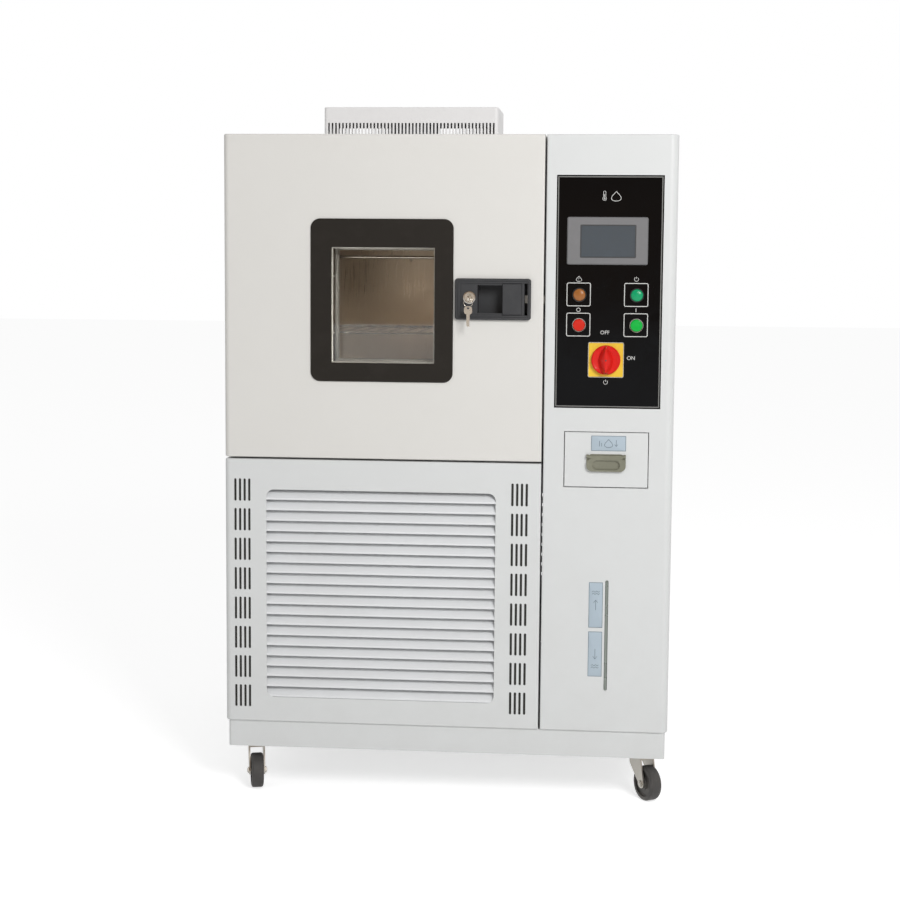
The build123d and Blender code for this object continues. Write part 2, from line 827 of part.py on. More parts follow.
# Blower wheel on its long shaft: hub disc, forward curved blades and a shroud ring.
blower_top = cavity_top - blower_drop
blower_low = blower_top - wheel_height_air
blade_sheet = 1.5
disc_sheet = 2
blade_width = 14
blade_margin = 3
blade_angle = 35
blade_root = wheel_radius_air - blade_width - blade_margin
hub_wall = 8
hub_height = 18
with BuildPart() as blower_wheel:
    with Locations((cavity_x, fan_axis_y, blower_low)):
        Cylinder(
            shaft_radius,
            roof_z + shaft_grip - blower_low,
            align=(Align.CENTER, Align.CENTER, Align.MIN),
        )
        Cylinder(wheel_radius_air, disc_sheet, align=(Align.CENTER, Align.CENTER, Align.MIN))
        Cylinder(shaft_radius + hub_wall, hub_height, align=(Align.CENTER, Align.CENTER, Align.MIN))
    with BuildSketch(Plane.XY.offset(blower_top - disc_sheet)):
        with Locations((cavity_x, fan_axis_y)):
            Circle(wheel_radius_air)
            Circle(blade_root, mode=Mode.SUBTRACT)
    extrude(amount=disc_sheet)
    with BuildSketch(Plane.XY.offset(blower_low + disc_sheet)):
        with Locations((cavity_x, fan_axis_y)):
            with PolarLocations((wheel_radius_air + blade_root) / 2, blower_blades):
                Rectangle(blade_width, blade_sheet, rotation=blade_angle)
    extrude(amount=wheel_height_air - 2 * disc_sheet)
blower_wheel.part.label = "blower_wheel"
export_step(blower_wheel.part, "parts/blower_wheel.step")

# Heaters in the duct: the bent air heater below the blower, and the straight rod that
# boils the water in the pan.
coil_y = baffle_y + duct_depth / 2
coil_drop = 30
coil_margin = 60
bend_slack = 0.01
coil_top = blower_low - coil_drop
coil_left = cavity_left + coil_margin
coil_turn_x = cavity_right - coil_margin
coil_points = []
for turn in range(coil_passes):
    right_end = cavity_right if turn in (0, coil_passes - 1) else coil_turn_x
    run = [(x, coil_y, coil_top - turn * coil_pitch) for x in (right_end, coil_left)]
    coil_points += run if turn % 2 == 0 else run[::-1]
pan_width = 300
pan_depth = 84
pan_height = 40
pan_y = baffle_y + duct_depth / 2
with BuildPart() as duct_heaters:
    with BuildLine() as coil:
        FilletPolyline(*coil_points, radius=coil_pitch / 2 - bend_slack)
    with BuildSketch(Plane(origin=coil.line @ 0, z_dir=coil.line % 0)):
        RegularPolygon(coil_tube, 12)
    sweep(path=coil.line)
    with BuildSketch(Plane.YZ.offset(cavity_x - pan_width / 2 + liner_sheet)):
        with Locations((pan_y, cavity_floor + pan_height / 2)):
            RegularPolygon(coil_tube, 12)
    extrude(amount=pan_width - 2 * liner_sheet)
duct_heaters.part.label = "duct_heaters"
export_step(duct_heaters.part, "parts/duct_heaters.step")

# Humidifying pan on the liner's floor, an open box that the rod stands in.
with BuildPart() as humidifier_pan:
    with Locations((cavity_x, pan_y, cavity_floor)):
        Box(pan_width, pan_depth, pan_height, align=(Align.CENTER, Align.CENTER, Align.MIN))
    with Locations((cavity_x, pan_y, cavity_floor + liner_sheet)):
        Box(
            pan_width - 2 * liner_sheet,
            pan_depth - 2 * liner_sheet,
            pan_height,
            align=(Align.CENTER, Align.CENTER, Align.MIN),
            mode=Mode.SUBTRACT,
        )
humidifier_pan.part.label = "humidifier_pan"
export_step(humidifier_pan.part, "parts/humidifier_pan.step")


def fin_block(x_mid, y_low, z_low, width, thickness, height, fins):
    """A finned heat exchanger: a core between upright fins, cut as grooves on both faces."""
    pitch = width / fins
    groove_width = 0.7 * pitch
    groove_depth = thickness / 4
    block(x_mid - width / 2, x_mid + width / 2, y_low, y_low + thickness, z_low, z_low + height)
    for groove_y in (y_low, y_low + thickness - groove_depth):
        with Locations((x_mid, groove_y, z_low + pitch / 2)):
            with GridLocations(pitch, 1, fins - 1, 1):
                Box(
                    groove_width,
                    groove_depth,
                    height - pitch,
                    align=(Align.CENTER, Align.MIN, Align.MIN),
                    mode=Mode.SUBTRACT,
                )


# Evaporator on the back wall of the duct, with its tube bends on the right.
evaporator_margin = 55
evaporator_lift = 60
evaporator_bends = 3
evaporator_width = cavity_width - 2 * evaporator_margin
evaporator_z = cavity_floor + pan_height + evaporator_lift
bend_radius = 16
bend_tube = 5
with BuildPart() as evaporator:
    fin_block(
        cavity_x,
        liner_back_y - evaporator_thickness,
        evaporator_z,
        evaporator_width,
        evaporator_thickness,
        evaporator_height,
        evaporator_fins,
    )
    for bend in range(evaporator_bends):
        bend_z = evaporator_z + (bend + 0.5) * evaporator_height / evaporator_bends
        with BuildSketch(Plane.XY.offset(bend_z - bend_tube)):
            with Locations((cavity_x + evaporator_width / 2, liner_back_y - evaporator_thickness / 2)):
                Circle(bend_radius)
                Circle(bend_radius - 2 * bend_tube, mode=Mode.SUBTRACT)
        extrude(amount=2 * bend_tube)
evaporator.part.label = "evaporator"
export_step(evaporator.part, "parts/evaporator.step")

# Condenser behind the louvres, standing on the deck, with its fan shroud at the back: a
# plate with a round throat, three struts and the fan's motor in their middle.
condenser_y = front_y + condenser_setback
condenser_back_y = condenser_y + condenser_thickness
condenser_x = louvre_x
fan_z = machine_z + condenser_height / 2
throat_radius = fan_radius + fan_gap
shroud_back_y = condenser_back_y + shroud_thickness
strut = 10
strut_sheet = 4
strut_angles = (90, 210, 330)
fan_motor_radius = 36
fan_motor_length = 60
fan_shaft = 4
fan_plane = Plane(origin=(condenser_x, shroud_back_y, fan_z), x_dir=(-1, 0, 0), z_dir=(0, 1, 0))
with BuildPart() as condenser:
    fin_block(
        condenser_x,
        condenser_y,
        machine_z,
        condenser_width,
        condenser_thickness,
        condenser_height,
        condenser_fins,
    )
    with BuildSketch(fan_plane):
        Rectangle(condenser_width, condenser_height)
        Circle(throat_radius, mode=Mode.SUBTRACT)
    extrude(amount=-shroud_thickness)
    with BuildSketch(fan_plane):
        Circle(fan_motor_radius)
        for angle in strut_angles:
            with PolarLocations(throat_radius / 2, 1, start_angle=angle):
                Rectangle(throat_radius + strut, strut)
    extrude(amount=strut_sheet)
    with BuildSketch(fan_plane.offset(strut_sheet)):
        Circle(fan_motor_radius)
    extrude(amount=fan_motor_length)
    with BuildSketch(fan_plane):
        Circle(fan_shaft + running_clearance)
    extrude(amount=fan_motor_length / 2, mode=Mode.SUBTRACT)
condenser.part.label = "condenser"
export_step(condenser.part, "parts/condenser.step")

# Condenser fan: a hub with twisted blades that runs in the throat on the motor's shaft.
hub_length = 20
fan_sheet = 2.5
root_chord = 28
root_angle = 50
tip_chord = 62
tip_angle = 68
root_overlap = 4
blade_plane = fan_plane.offset(-shroud_thickness / 2)
with BuildPart() as condenser_fan:
    with BuildSketch(blade_plane.offset(-hub_length / 2)):
        Circle(fan_hub)
    extrude(amount=hub_length)
    with BuildSketch(blade_plane):
        Circle(fan_shaft)
    extrude(amount=shroud_thickness / 2 + fan_motor_length / 2 - shaft_end_gap)
    for number in range(fan_blades):
        angle = radians(90 + number * 360 / fan_blades)
        outward = Vector(cos(angle), 0, sin(angle))
        centre = blade_plane.origin
        root = Plane(origin=centre + outward * (fan_hub - root_overlap), x_dir=(0, 1, 0), z_dir=outward)
        tip = Plane(origin=centre + outward * fan_radius, x_dir=(0, 1, 0), z_dir=outward)
        with BuildSketch(root):
            Rectangle(root_chord, fan_sheet, rotation=root_angle)
        with BuildSketch(tip):
            Rectangle(tip_chord, fan_sheet, rotation=tip_angle)
        loft()
condenser_fan.part.label = "condenser_fan"
export_step(condenser_fan.part, "parts/condenser_fan.step")

# Hermetic compressor on its foot plate, with its terminal box and two tube stubs.
compressor_x = left_x + compressor_inset
compressor_y = front_y + compressor_setback
foot_margin = 10
foot_height = 16
foot_sheet = 4
terminal_half = 30
terminal_depth = 22
terminal_low = 126
terminal_high = 196
stub_radius = 6
stub_length = 60
with BuildPart() as compressor:
    upright = Plane(origin=(compressor_x, compressor_y, machine_z), x_dir=(1, 0, 0), z_dir=(0, -1, 0))
    with BuildSketch(upright):
        with Locations((compressor_radius / 2, foot_height + compressor_height / 2)):
            shell = Rectangle(compressor_radius, compressor_height)
        fillet(shell.vertices().sort_by(Axis.X)[-2:], compressor_radius / 2)
    revolve(axis=Axis((compressor_x, compressor_y, machine_z), (0, 0, 1)))
    with Locations((compressor_x, compressor_y, machine_z)):
        Box(
            2 * (compressor_radius + foot_margin),
            2 * (compressor_radius + foot_margin),
            foot_sheet,
            align=(Align.CENTER, Align.CENTER, Align.MIN),
        )
        Cylinder(
            compressor_radius / 2 + foot_margin,
            foot_height + foot_sheet,
            align=(Align.CENTER, Align.CENTER, Align.MIN),
        )
    block(
        compressor_x - terminal_half,
        compressor_x + terminal_half,
        compressor_y - compressor_radius - terminal_depth,
        compressor_y - compressor_radius + terminal_depth,
        machine_z + terminal_low,
        machine_z + terminal_high,
    )
    for stub_x in (compressor_x - compressor_radius / 3, compressor_x + compressor_radius / 3):
        with Locations((stub_x, compressor_y, machine_z + compressor_height)):
            Cylinder(stub_radius, stub_length, align=(Align.CENTER, Align.CENTER, Align.MIN))
compressor.part.label = "compressor"
export_step(compressor.part, "parts/compressor.step")

# Electrical mounting plate across the control column, with its switchgear on rails.
plate_y = front_y + plate_setback
plate_low_z = seam_z - 120
plate_high_z = roof_z - 110
device_rows = (130, 300, 470)
device_width = 34
device_height = 70
device_depth = 52
device_gap = 8
rail_depth = 7
rail_half = 17
rail_margin = 24
device_pitch = device_width + device_gap
device_count = int((column_width - 2 * rail_margin) / device_pitch)
with BuildPart() as electrical_plate:
    block(column_x + sheet, right_x - sheet, plate_y, plate_y + sheet, plate_low_z, plate_high_z)
    for row in device_rows:
        row_z = plate_low_z + row
        block(
            column_x + rail_margin,
            right_x - rail_margin,
            plate_y - rail_depth,
            plate_y,
            row_z - rail_half,
            row_z + rail_half,
        )
        with Locations((column_x + column_width / 2, plate_y - rail_depth, row_z)):
            with GridLocations(device_pitch, 1, device_count, 1):
                Box(
                    device_width,
                    device_depth,
                    device_height,
                    align=(Align.CENTER, Align.MAX, Align.CENTER),
                )
electrical_plate.part.label = "electrical_plate"
export_step(electrical_plate.part, "parts/electrical_plate.step")

# Water tank on the deck behind the level sight, with a filler neck on top.
neck_radius = 22
neck_height = 26
neck_depth = 20
tube_gap = 1
elbow_reach = 16
elbow_margin = 14
tube_y = front_y + sheet + tube_radius + tube_gap
tank_front_y = tube_y + elbow_reach
tank_top_z = sight_z + sight_length / 2 + 2 * elbow_margin
with BuildPart() as water_tank:
    block(
        tube_x - tank_width / 2,
        tube_x + tank_width / 2,
        tank_front_y,
        tank_front_y + tank_depth,
        machine_z + sheet,
        tank_top_z,
    )
    fillet(water_tank.edges().filter_by(Axis.Z), 4 * tank_wall)
    with Locations((tube_x, tank_front_y + tank_depth / 2, tank_top_z)):
        Cylinder(neck_radius, neck_height, align=(Align.CENTER, Align.CENTER, Align.MIN))
        Cylinder(
            neck_radius - tank_wall,
            neck_depth,
            align=(Align.CENTER, Align.CENTER, Align.MIN),
            mode=Mode.SUBTRACT,
        )
water_tank.part.label = "water_tank"
export_step(water_tank.part, "parts/water_tank.step")

# Clear level tube behind the sight slot, on two elbows from the tank. The float slides
# in its bore and lies at the bottom when the tank is empty.
tube_low_z = sight_z - sight_length / 2 - elbow_margin
tube_high_z = sight_z + sight_length / 2 + elbow_margin
bore_margin = 4
elbow_half = 5
float_chamfer = 1.5
bore_low_z = sight_z - sight_length / 2 - bore_margin
bore_high_z = sight_z + sight_length / 2 + bore_margin
with BuildPart() as sight_tube:
    with Locations((tube_x, tube_y, tube_low_z - tube_radius)):
        Cylinder(
            tube_radius,
            tube_high_z - tube_low_z + 2 * tube_radius,
            align=(Align.CENTER, Align.CENTER, Align.MIN),
        )
    for elbow_z in (tube_low_z, tube_high_z):
        block(
            tube_x - elbow_half,
            tube_x + elbow_half,
            tube_y,
            tank_front_y,
            elbow_z - elbow_half,
            elbow_z + elbow_half,
        )
    with Locations((tube_x, tube_y, bore_low_z)):
        Cylinder(
            tube_bore,
            bore_high_z - bore_low_z,
            align=(Align.CENTER, Align.CENTER, Align.MIN),
            mode=Mode.SUBTRACT,
        )
sight_tube.part.label = "sight_tube"
export_step(sight_tube.part, "parts/sight_tube.step")

with BuildPart() as level_float:
    with Locations((tube_x, tube_y, bore_low_z + side_seat)):
        Cylinder(float_radius, float_length, align=(Align.CENTER, Align.CENTER, Align.MIN))
    chamfer(level_float.edges().filter_by(GeomType.CIRCLE), float_chamfer)
level_float.part.label = "level_float"
export_step(level_float.part, "parts/level_float.step")

# Control panel: a plate seated behind the column's opening on a raised rim, so that its
# face lies a little back from the column's face. It has holes for all the fittings.
barrel_radius = 11
barrel_hole = barrel_radius + side_seat
screen_x = left_x + screen_left + screen_width / 2
screen_z = roof_z - screen_drop - screen_height / 2
screen_step = 6
lamp_spots = [(left_x + x, roof_z - drop) for x in lamp_columns for drop in lamp_rows]
knob_x = left_x + switch_x
knob_z = roof_z - switch_drop
panel_back = panel_setback + panel_thickness
with BuildPart() as control_panel:
    with BuildSketch(front_plane(sheet)):
        with Locations((panel_x, panel_z)):
            Rectangle(panel_width + 2 * panel_overlap, panel_height + 2 * panel_overlap)
            Rectangle(panel_width, panel_height, mode=Mode.SUBTRACT)
    extrude(amount=sheet - panel_setback)
    with BuildSketch(front_plane(panel_setback)):
        with Locations((panel_x, panel_z)):
            Rectangle(panel_width + 2 * panel_overlap, panel_height + 2 * panel_overlap)
        with Locations((screen_x, screen_z)):
            Rectangle(
                screen_width - 2 * screen_step + 2 * side_seat,
                screen_height - 2 * screen_step + 2 * side_seat,
                mode=Mode.SUBTRACT,
            )
        with Locations(*lamp_spots, (knob_x, knob_z)):
            Circle(barrel_hole, mode=Mode.SUBTRACT)
    extrude(amount=-panel_thickness)
control_panel.part.label = "control_panel"
export_step(control_panel.part, "parts/control_panel.step")

# Touch screen: a bezel with a sunk glass field and the housing behind the panel.
screen_round = 4
screen_chamfer = 2
glass_sink = 1
glass_x = left_x + screen_left + glass_left + glass_width / 2
glass_z = roof_z - screen_drop - glass_drop - glass_height / 2
screen_face = panel_setback - screen_proud
with BuildPart() as touch_screen:
    with BuildSketch(front_plane(panel_setback)):
        with Locations((screen_x, screen_z)):
            RectangleRounded(screen_width, screen_height, screen_round)
    extrude(amount=screen_proud)
    chamfer(touch_screen.faces().sort_by(Axis.Y)[0].edges(), screen_chamfer)
    with BuildSketch(front_plane(panel_setback)):
        with Locations((screen_x, screen_z)):
            Rectangle(screen_width - 2 * screen_step, screen_height - 2 * screen_step)
    extrude(amount=-screen_body)
    with BuildSketch(front_plane(screen_face)):
        with Locations((glass_x, glass_z)):
            Rectangle(glass_width, glass_height)
    extrude(amount=-glass_sink, mode=Mode.SUBTRACT)
touch_screen.part.label = "touch_screen"
export_step(touch_screen.part, "parts/touch_screen.step")

# The four panel fittings have one kind of body: a bezel ring in front, a barrel through
# the panel and a contact block behind it. A stem runs in the barrel's bore.
barrel_length = 20
block_size = 30
block_length = 24
bezel_face = panel_setback - bezel_height
pocket_radius = lens_radius + side_seat
pocket_depth = button_travel + side_seat
with BuildPart() as button_bezels:
    for spot in lamp_spots:
        with BuildSketch(front_plane(bezel_face)):
            with Locations(spot):
                Circle(bezel_radius)
        extrude(amount=-bezel_height)
        with BuildSketch(front_plane(panel_setback)):
            with Locations(spot):
                Circle(barrel_radius)
        extrude(amount=-panel_thickness - barrel_length)
        with BuildSketch(front_plane(panel_back + barrel_length)):
            with Locations(spot):
                Rectangle(block_size, block_size)
        extrude(amount=-block_length)
        with BuildSketch(front_plane(bezel_face)):
            with Locations(spot):
                Circle(pocket_radius)
        extrude(amount=-pocket_depth, mode=Mode.SUBTRACT)
        with BuildSketch(front_plane(bezel_face)):
            with Locations(spot):
                Circle(button_stem + running_clearance)
        extrude(amount=-bezel_height - panel_thickness - barrel_length, mode=Mode.SUBTRACT)
button_bezels.part.label = "button_bezels"
export_step(button_bezels.part, "parts/button_bezels.step")

# Lamp lenses: low domes that fill their bezels, the alarm lamp on the left.
stem_gap = 8
stem_length = panel_thickness + barrel_length - stem_gap
for name, column in (("alarm_lamp", 0), ("power_lamp", 1)):
    lens_x = left_x + lamp_columns[column]
    lens_z = roof_z - lamp_rows[0]
    lens_back = bezel_face + button_travel
    with BuildPart() as lens:
        with BuildSketch(front_plane(lens_back)):
            with Locations((lens_x, lens_z)):
                Circle(lens_radius)
        extrude(amount=button_travel + lens_height)
        fillet(lens.faces().sort_by(Axis.Y)[0].edges(), lens_height)
        with BuildSketch(front_plane(lens_back)):
            with Locations((lens_x, lens_z)):
                Circle(button_stem)
        extrude(amount=-stem_length)
    lens.part.label = name
    export_step(lens.part, f"parts/{name}.step")

# Push buttons: flat caps on stems that slide in the barrels.
cap_round = 1
for name, column in (("stop_button", 0), ("start_button", 1)):
    cap_x = left_x + lamp_columns[column]
    cap_z = roof_z - lamp_rows[1]
    cap_face = bezel_face - button_proud
    with BuildPart() as button:
        with BuildSketch(front_plane(cap_face)):
            with Locations((cap_x, cap_z)):
                Circle(button_radius)
        extrude(amount=-button_proud)
        fillet(button.faces().sort_by(Axis.Y)[0].edges(), cap_round)
        with BuildSketch(front_plane(cap_face + button_proud)):
            with Locations((cap_x, cap_z)):
                Circle(button_stem)
        extrude(amount=-bezel_height - stem_length)
    button.part.label = name
    export_step(button.part, f"parts/{name}.step")

# Main switch: a square plate, its bushing through the panel and its contact block
# behind, and the round knob with a raised grip that turns in the bushing.
plate_face = panel_setback - switch_plate_thickness
plate_round = 3
with BuildPart() as switch_plate:
    with BuildSketch(front_plane(plate_face)):
        with Locations((knob_x, knob_z)):
            RectangleRounded(switch_plate_width, switch_plate_height, plate_round)
    extrude(amount=-switch_plate_thickness)
    with BuildSketch(front_plane(panel_setback)):
        with Locations((knob_x, knob_z)):
            Circle(barrel_radius)
    extrude(amount=-panel_thickness)
    with BuildSketch(front_plane(panel_back)):
        with Locations((knob_x, knob_z)):
            Rectangle(switch_body, switch_body)
    extrude(amount=-switch_body)
    with BuildSketch(front_plane(plate_face)):
        with Locations((knob_x, knob_z)):
            Circle(knob_stem + running_clearance)
    extrude(amount=-panel_back - switch_body / 2, mode=Mode.SUBTRACT)
switch_plate.part.label = "switch_plate"
export_step(switch_plate.part, "parts/switch_plate.step")

knob_low = plate_face - side_seat
knob_taper = 12
grip_margin = 4
grip_taper = 4
grip_round = 2
with BuildPart() as switch_knob:
    with BuildSketch(front_plane(knob_low)):
        with Locations((knob_x, knob_z)):
            Circle(knob_radius)
    extrude(amount=knob_base, taper=knob_taper)
    with BuildSketch(front_plane(knob_low - knob_base)):
        with Locations((knob_x, knob_z)):
            SlotOverall(2 * (knob_radius - grip_margin), grip_width, rotation=90)
    extrude(amount=grip_height, taper=grip_taper)
    fillet(switch_knob.faces().sort_by(Axis.Y)[0].edges(), grip_round)
    with BuildSketch(front_plane(knob_low)):
        with Locations((knob_x, knob_z)):
            Circle(knob_stem)
    extrude(amount=-panel_back - switch_body / 4)
switch_knob.part.label = "switch_knob"
export_step(switch_knob.part, "parts/switch_knob.step")

# Water drawer: a flush front with an open tray behind it for pouring water in.
drawer_round = 1.5
with BuildPart() as water_drawer:
    block(
        drawer_x - drawer_width / 2,
        drawer_x + drawer_width / 2,
        front_y,
        front_y + drawer_front,
        drawer_z - drawer_height / 2,
        drawer_z + drawer_height / 2,
    )
    fillet(water_drawer.faces().sort_by(Axis.Y)[0].edges(), drawer_round)
    block(
        drawer_x - tray_width / 2,
        drawer_x + tray_width / 2,
        front_y + drawer_front,
        tray_back_y,
        tray_low_z,
        tray_low_z + tray_height,
    )
    block(
        drawer_x - tray_width / 2 + tray_wall,
        drawer_x + tray_width / 2 - tray_wall,
        front_y + drawer_front,
        tray_back_y - tray_wall,
        tray_low_z + tray_wall,
        tray_low_z + tray_height,
        Mode.SUBTRACT,
    )
water_drawer.part.label = "water_drawer"
export_step(water_drawer.part, "parts/water_drawer.step")

# Drawer pull: a thin plate with two ears, and a bail that hangs between them on its
# own pins and folds outward. The bail is a rounded plate with a finger hole.
ear_width = 5
ear_radius = 4
ear_margin = 0.5
pull_round = pull_height / 3
pull_top_z = roof_z - pull_top_drop
pin_z = pull_top_z - ear_radius - ear_margin
pin_y = front_y - pull_plate - side_seat - bail_thickness / 2
pull_low_z = pull_top_z - pull_height
bail_half = pull_width / 2 - ear_width - side_seat
with BuildPart() as pull_mount:
    with BuildSketch(front_plane()):
        with Locations((drawer_x, pull_top_z - pull_height / 2)):
            pull_shape = Rectangle(pull_width, pull_height)
        fillet(pull_shape.vertices().group_by(Axis.Z)[0], pull_round)
    extrude(amount=pull_plate)
    for ear_x in (drawer_x - pull_width / 2, drawer_x + pull_width / 2 - ear_width):
        with BuildSketch(Plane.YZ.offset(ear_x)):
            with Locations((pin_y, pin_z)):
                Circle(ear_radius)
            with Locations(((pin_y + front_y - pull_plate) / 2, pin_z)):
                Rectangle(front_y - pull_plate - pin_y, 2 * ear_radius)
            with Locations((pin_y, pin_z)):
                Circle(bail_pin + running_clearance, mode=Mode.SUBTRACT)
        extrude(amount=ear_width)
pull_mount.part.label = "pull_mount"
export_step(pull_mount.part, "parts/pull_mount.step")

bail_plane = front_plane(pin_y - front_y - bail_thickness / 2)
bail_top_z = pin_z - ear_radius - side_seat
finger_margin = 3.5
finger_z = pull_low_z + finger_height / 2 + finger_margin
with BuildPart() as pull_bail:
    with BuildSketch(bail_plane):
        with Locations((drawer_x, (bail_top_z + pull_low_z) / 2)):
            bail_shape = Rectangle(pull_width, bail_top_z - pull_low_z)
        fillet(bail_shape.vertices().group_by(Axis.Z)[0], pull_round)
        with Locations((drawer_x, (pin_z + bail_top_z) / 2)):
            Rectangle(2 * bail_half, pin_z - bail_top_z)
        with Locations((drawer_x, finger_z)):
            SlotOverall(finger_width, finger_height, mode=Mode.SUBTRACT)
    extrude(amount=-bail_thickness)
    with BuildSketch(Plane.YZ.offset(drawer_x - bail_half)):
        with Locations((pin_y, pin_z)):
            Circle(bail_thickness / 2)
    extrude(amount=2 * bail_half)
    with BuildSketch(Plane.YZ.offset(drawer_x - pull_width / 2)):
        with Locations((pin_y, pin_z)):
            Circle(bail_pin)
    extrude(amount=pull_width)
pull_bail.part.label = "pull_bail"
export_step(pull_bail.part, "parts/pull_bail.step")

# Door shell: a folded steel pan, open at the back, with a widely rounded left edge. It
# has the window opening, the pocket for the latch and the hole for the latch bolt.
window_shift = -1
window_x = left_x + door_width / 2 + window_shift
window_z = roof_z - window_drop
view_x = window_x + view_shift_x
view_z = window_z + view_shift_z
sleeve_step = 2
sleeve_width = view_width + 2 * (sleeve_step + sleeve_wall)
sleeve_height = view_height + 2 * (sleeve_step + sleeve_wall)
latch_x = left_x + latch_left
latch_z = roof_z - latch_drop
cup_left = latch_x + latch_rim + lock_block + latch_wall
cup_right = cup_left + recess_width + paddle_width + paddle_slot
cup_half = paddle_height / 2
lock_shift = 2
lock_rise = 3
lock_wall = 3
lock_floor = 4
arm_overlap = 4
lock_x = latch_x + latch_rim + lock_block / 2 + lock_shift
lock_z = latch_z + lock_rise
lock_boss_radius = plug_radius + lock_wall
lock_boss_length = plug_length - latch_proud + latch_sink + lock_floor
bolt_depth = arm_reach - latch_proud / 2 - arm_overlap
door_back_y = front_y + door_depth
plug_back_y = door_back_y + plug_reach
with BuildPart() as door_shell:
    block(left_x, door_right_x, front_y, door_back_y, door_z, roof_z)
    corners = door_shell.edges().filter_by(Axis.Z).group_by(Axis.Y)[0].sort_by(Axis.X)
    fillet(corners[0], left_round)
    front_face = door_shell.faces().sort_by(Axis.Y)[0]
    fillet(front_face.edges().sort_by(Axis.X)[1:], edge_round)
    offset(amount=-sheet, openings=door_shell.faces().sort_by(Axis.Y)[-1])
    with BuildSketch(front_plane()):
        with Locations((view_x, view_z)):
            Rectangle(sleeve_width, sleeve_height)
        with Locations(((cup_left + cup_right) / 2, latch_z)):
            Rectangle(cup_right - cup_left + 2 * latch_wall, 2 * (cup_half + latch_wall))
        with Locations((lock_x, lock_z)):
            Circle(lock_boss_radius + running_clearance)
    extrude(amount=-sheet, mode=Mode.SUBTRACT)
    block(
        door_right_x - sheet,
        door_right_x,
        front_y + bolt_depth - side_seat,
        front_y + bolt_depth + bolt_thickness + side_seat,
        latch_z - bolt_height / 2 - side_seat,
        latch_z + bolt_height / 2 + side_seat,
        Mode.SUBTRACT,
    )
door_shell.part.label = "door_shell"
export_step(door_shell.part, "parts/door_shell.step")

# Inner door pan: a flat plate inside the shell's rim with a raised plug that enters the
# test space's mouth, open through its middle for the window.
plug_round = 12
plug_width = cavity_width - 2 * plug_clearance
plug_height = cavity_height - 2 * plug_clearance
with BuildPart() as door_liner:
    with BuildSketch(front_plane(door_depth)):
        with Locations(((left_x + door_right_x) / 2, cavity_z)):
            RectangleRounded(door_width - 2 * sheet, door_height - 2 * sheet, edge_round - sheet)
    extrude(amount=liner_sheet)
    with BuildSketch(front_plane(door_depth)):
        with Locations((cavity_x, cavity_z)):
            RectangleRounded(plug_width, plug_height, plug_round)
    extrude(amount=-plug_reach)
    with BuildSketch(front_plane(door_depth - liner_sheet)):
        with Locations((cavity_x, cavity_z)):
            RectangleRounded(
                plug_width - 2 * liner_sheet,
                plug_height - 2 * liner_sheet,
                plug_round - liner_sheet,
            )
    extrude(amount=-plug_reach, mode=Mode.SUBTRACT)
    with BuildSketch(front_plane(door_depth)):
        with Locations((view_x, view_z)):
            Rectangle(view_width, view_height)
    extrude(amount=-plug_reach, mode=Mode.SUBTRACT)
door_liner.part.label = "door_liner"
export_step(door_liner.part, "parts/door_liner.step")

# Window frame: a broad flat ring on the door's face and a square sleeve through the
# door. The panes sit inside the sleeve, one behind the ring and one at the inner pan.
pane_seat = 0.3
window_chamfer = 1.5
inner_pane_y = plug_back_y - liner_sheet
with BuildPart() as window_frame:
    with BuildSketch(front_plane()):
        with Locations((window_x, window_z)):
            RectangleRounded(window_width, window_height, window_round)
        with Locations((view_x, view_z)):
            Rectangle(view_width, view_height, mode=Mode.SUBTRACT)
    extrude(amount=window_proud)
    chamfer(window_frame.faces().sort_by(Axis.Y)[0].outer_wire().edges(), window_chamfer)
    with BuildSketch(front_plane()):
        with Locations((view_x, view_z)):
            Rectangle(sleeve_width, sleeve_height)
            Rectangle(sleeve_width - 2 * sleeve_wall, sleeve_height - 2 * sleeve_wall, mode=Mode.SUBTRACT)
    extrude(amount=front_y - inner_pane_y)
window_frame.part.label = "window_frame"
export_step(window_frame.part, "parts/window_frame.step")

pane_width = sleeve_width - 2 * sleeve_wall - 2 * pane_seat
pane_height = sleeve_height - 2 * sleeve_wall - 2 * pane_seat
with BuildPart() as window_panes:
    for pane_depth in (0, inner_pane_y - front_y - pane):
        with BuildSketch(front_plane(pane_depth)):
            with Locations((view_x, view_z)):
                Rectangle(pane_width, pane_height)
        extrude(amount=-pane)
window_panes.part.label = "window_panes"
export_step(window_panes.part, "parts/window_panes.step")

# Door gasket: a soft ring with a rounded crown that closes on the mouth frame.
gasket_lip = 6
gasket_round = 20
gasket_chamfer = 4
with BuildPart() as door_gasket:
    with BuildSketch(front_plane(door_depth)):
        with Locations((cavity_x, cavity_z)):
            RectangleRounded(
                cavity_width + 2 * (gasket_lip + gasket_width),
                cavity_height + 2 * (gasket_lip + gasket_width),
                gasket_round,
            )
            Rectangle(cavity_width + 2 * gasket_lip, cavity_height + 2 * gasket_lip, mode=Mode.SUBTRACT)
    extrude(amount=side_seat - seal_gap)
    crown = door_gasket.faces().sort_by(Axis.Y)[-1]
    chamfer(crown.edges(), gasket_chamfer)
door_gasket.part.label = "door_gasket"
export_step(door_gasket.part, "parts/door_gasket.step")

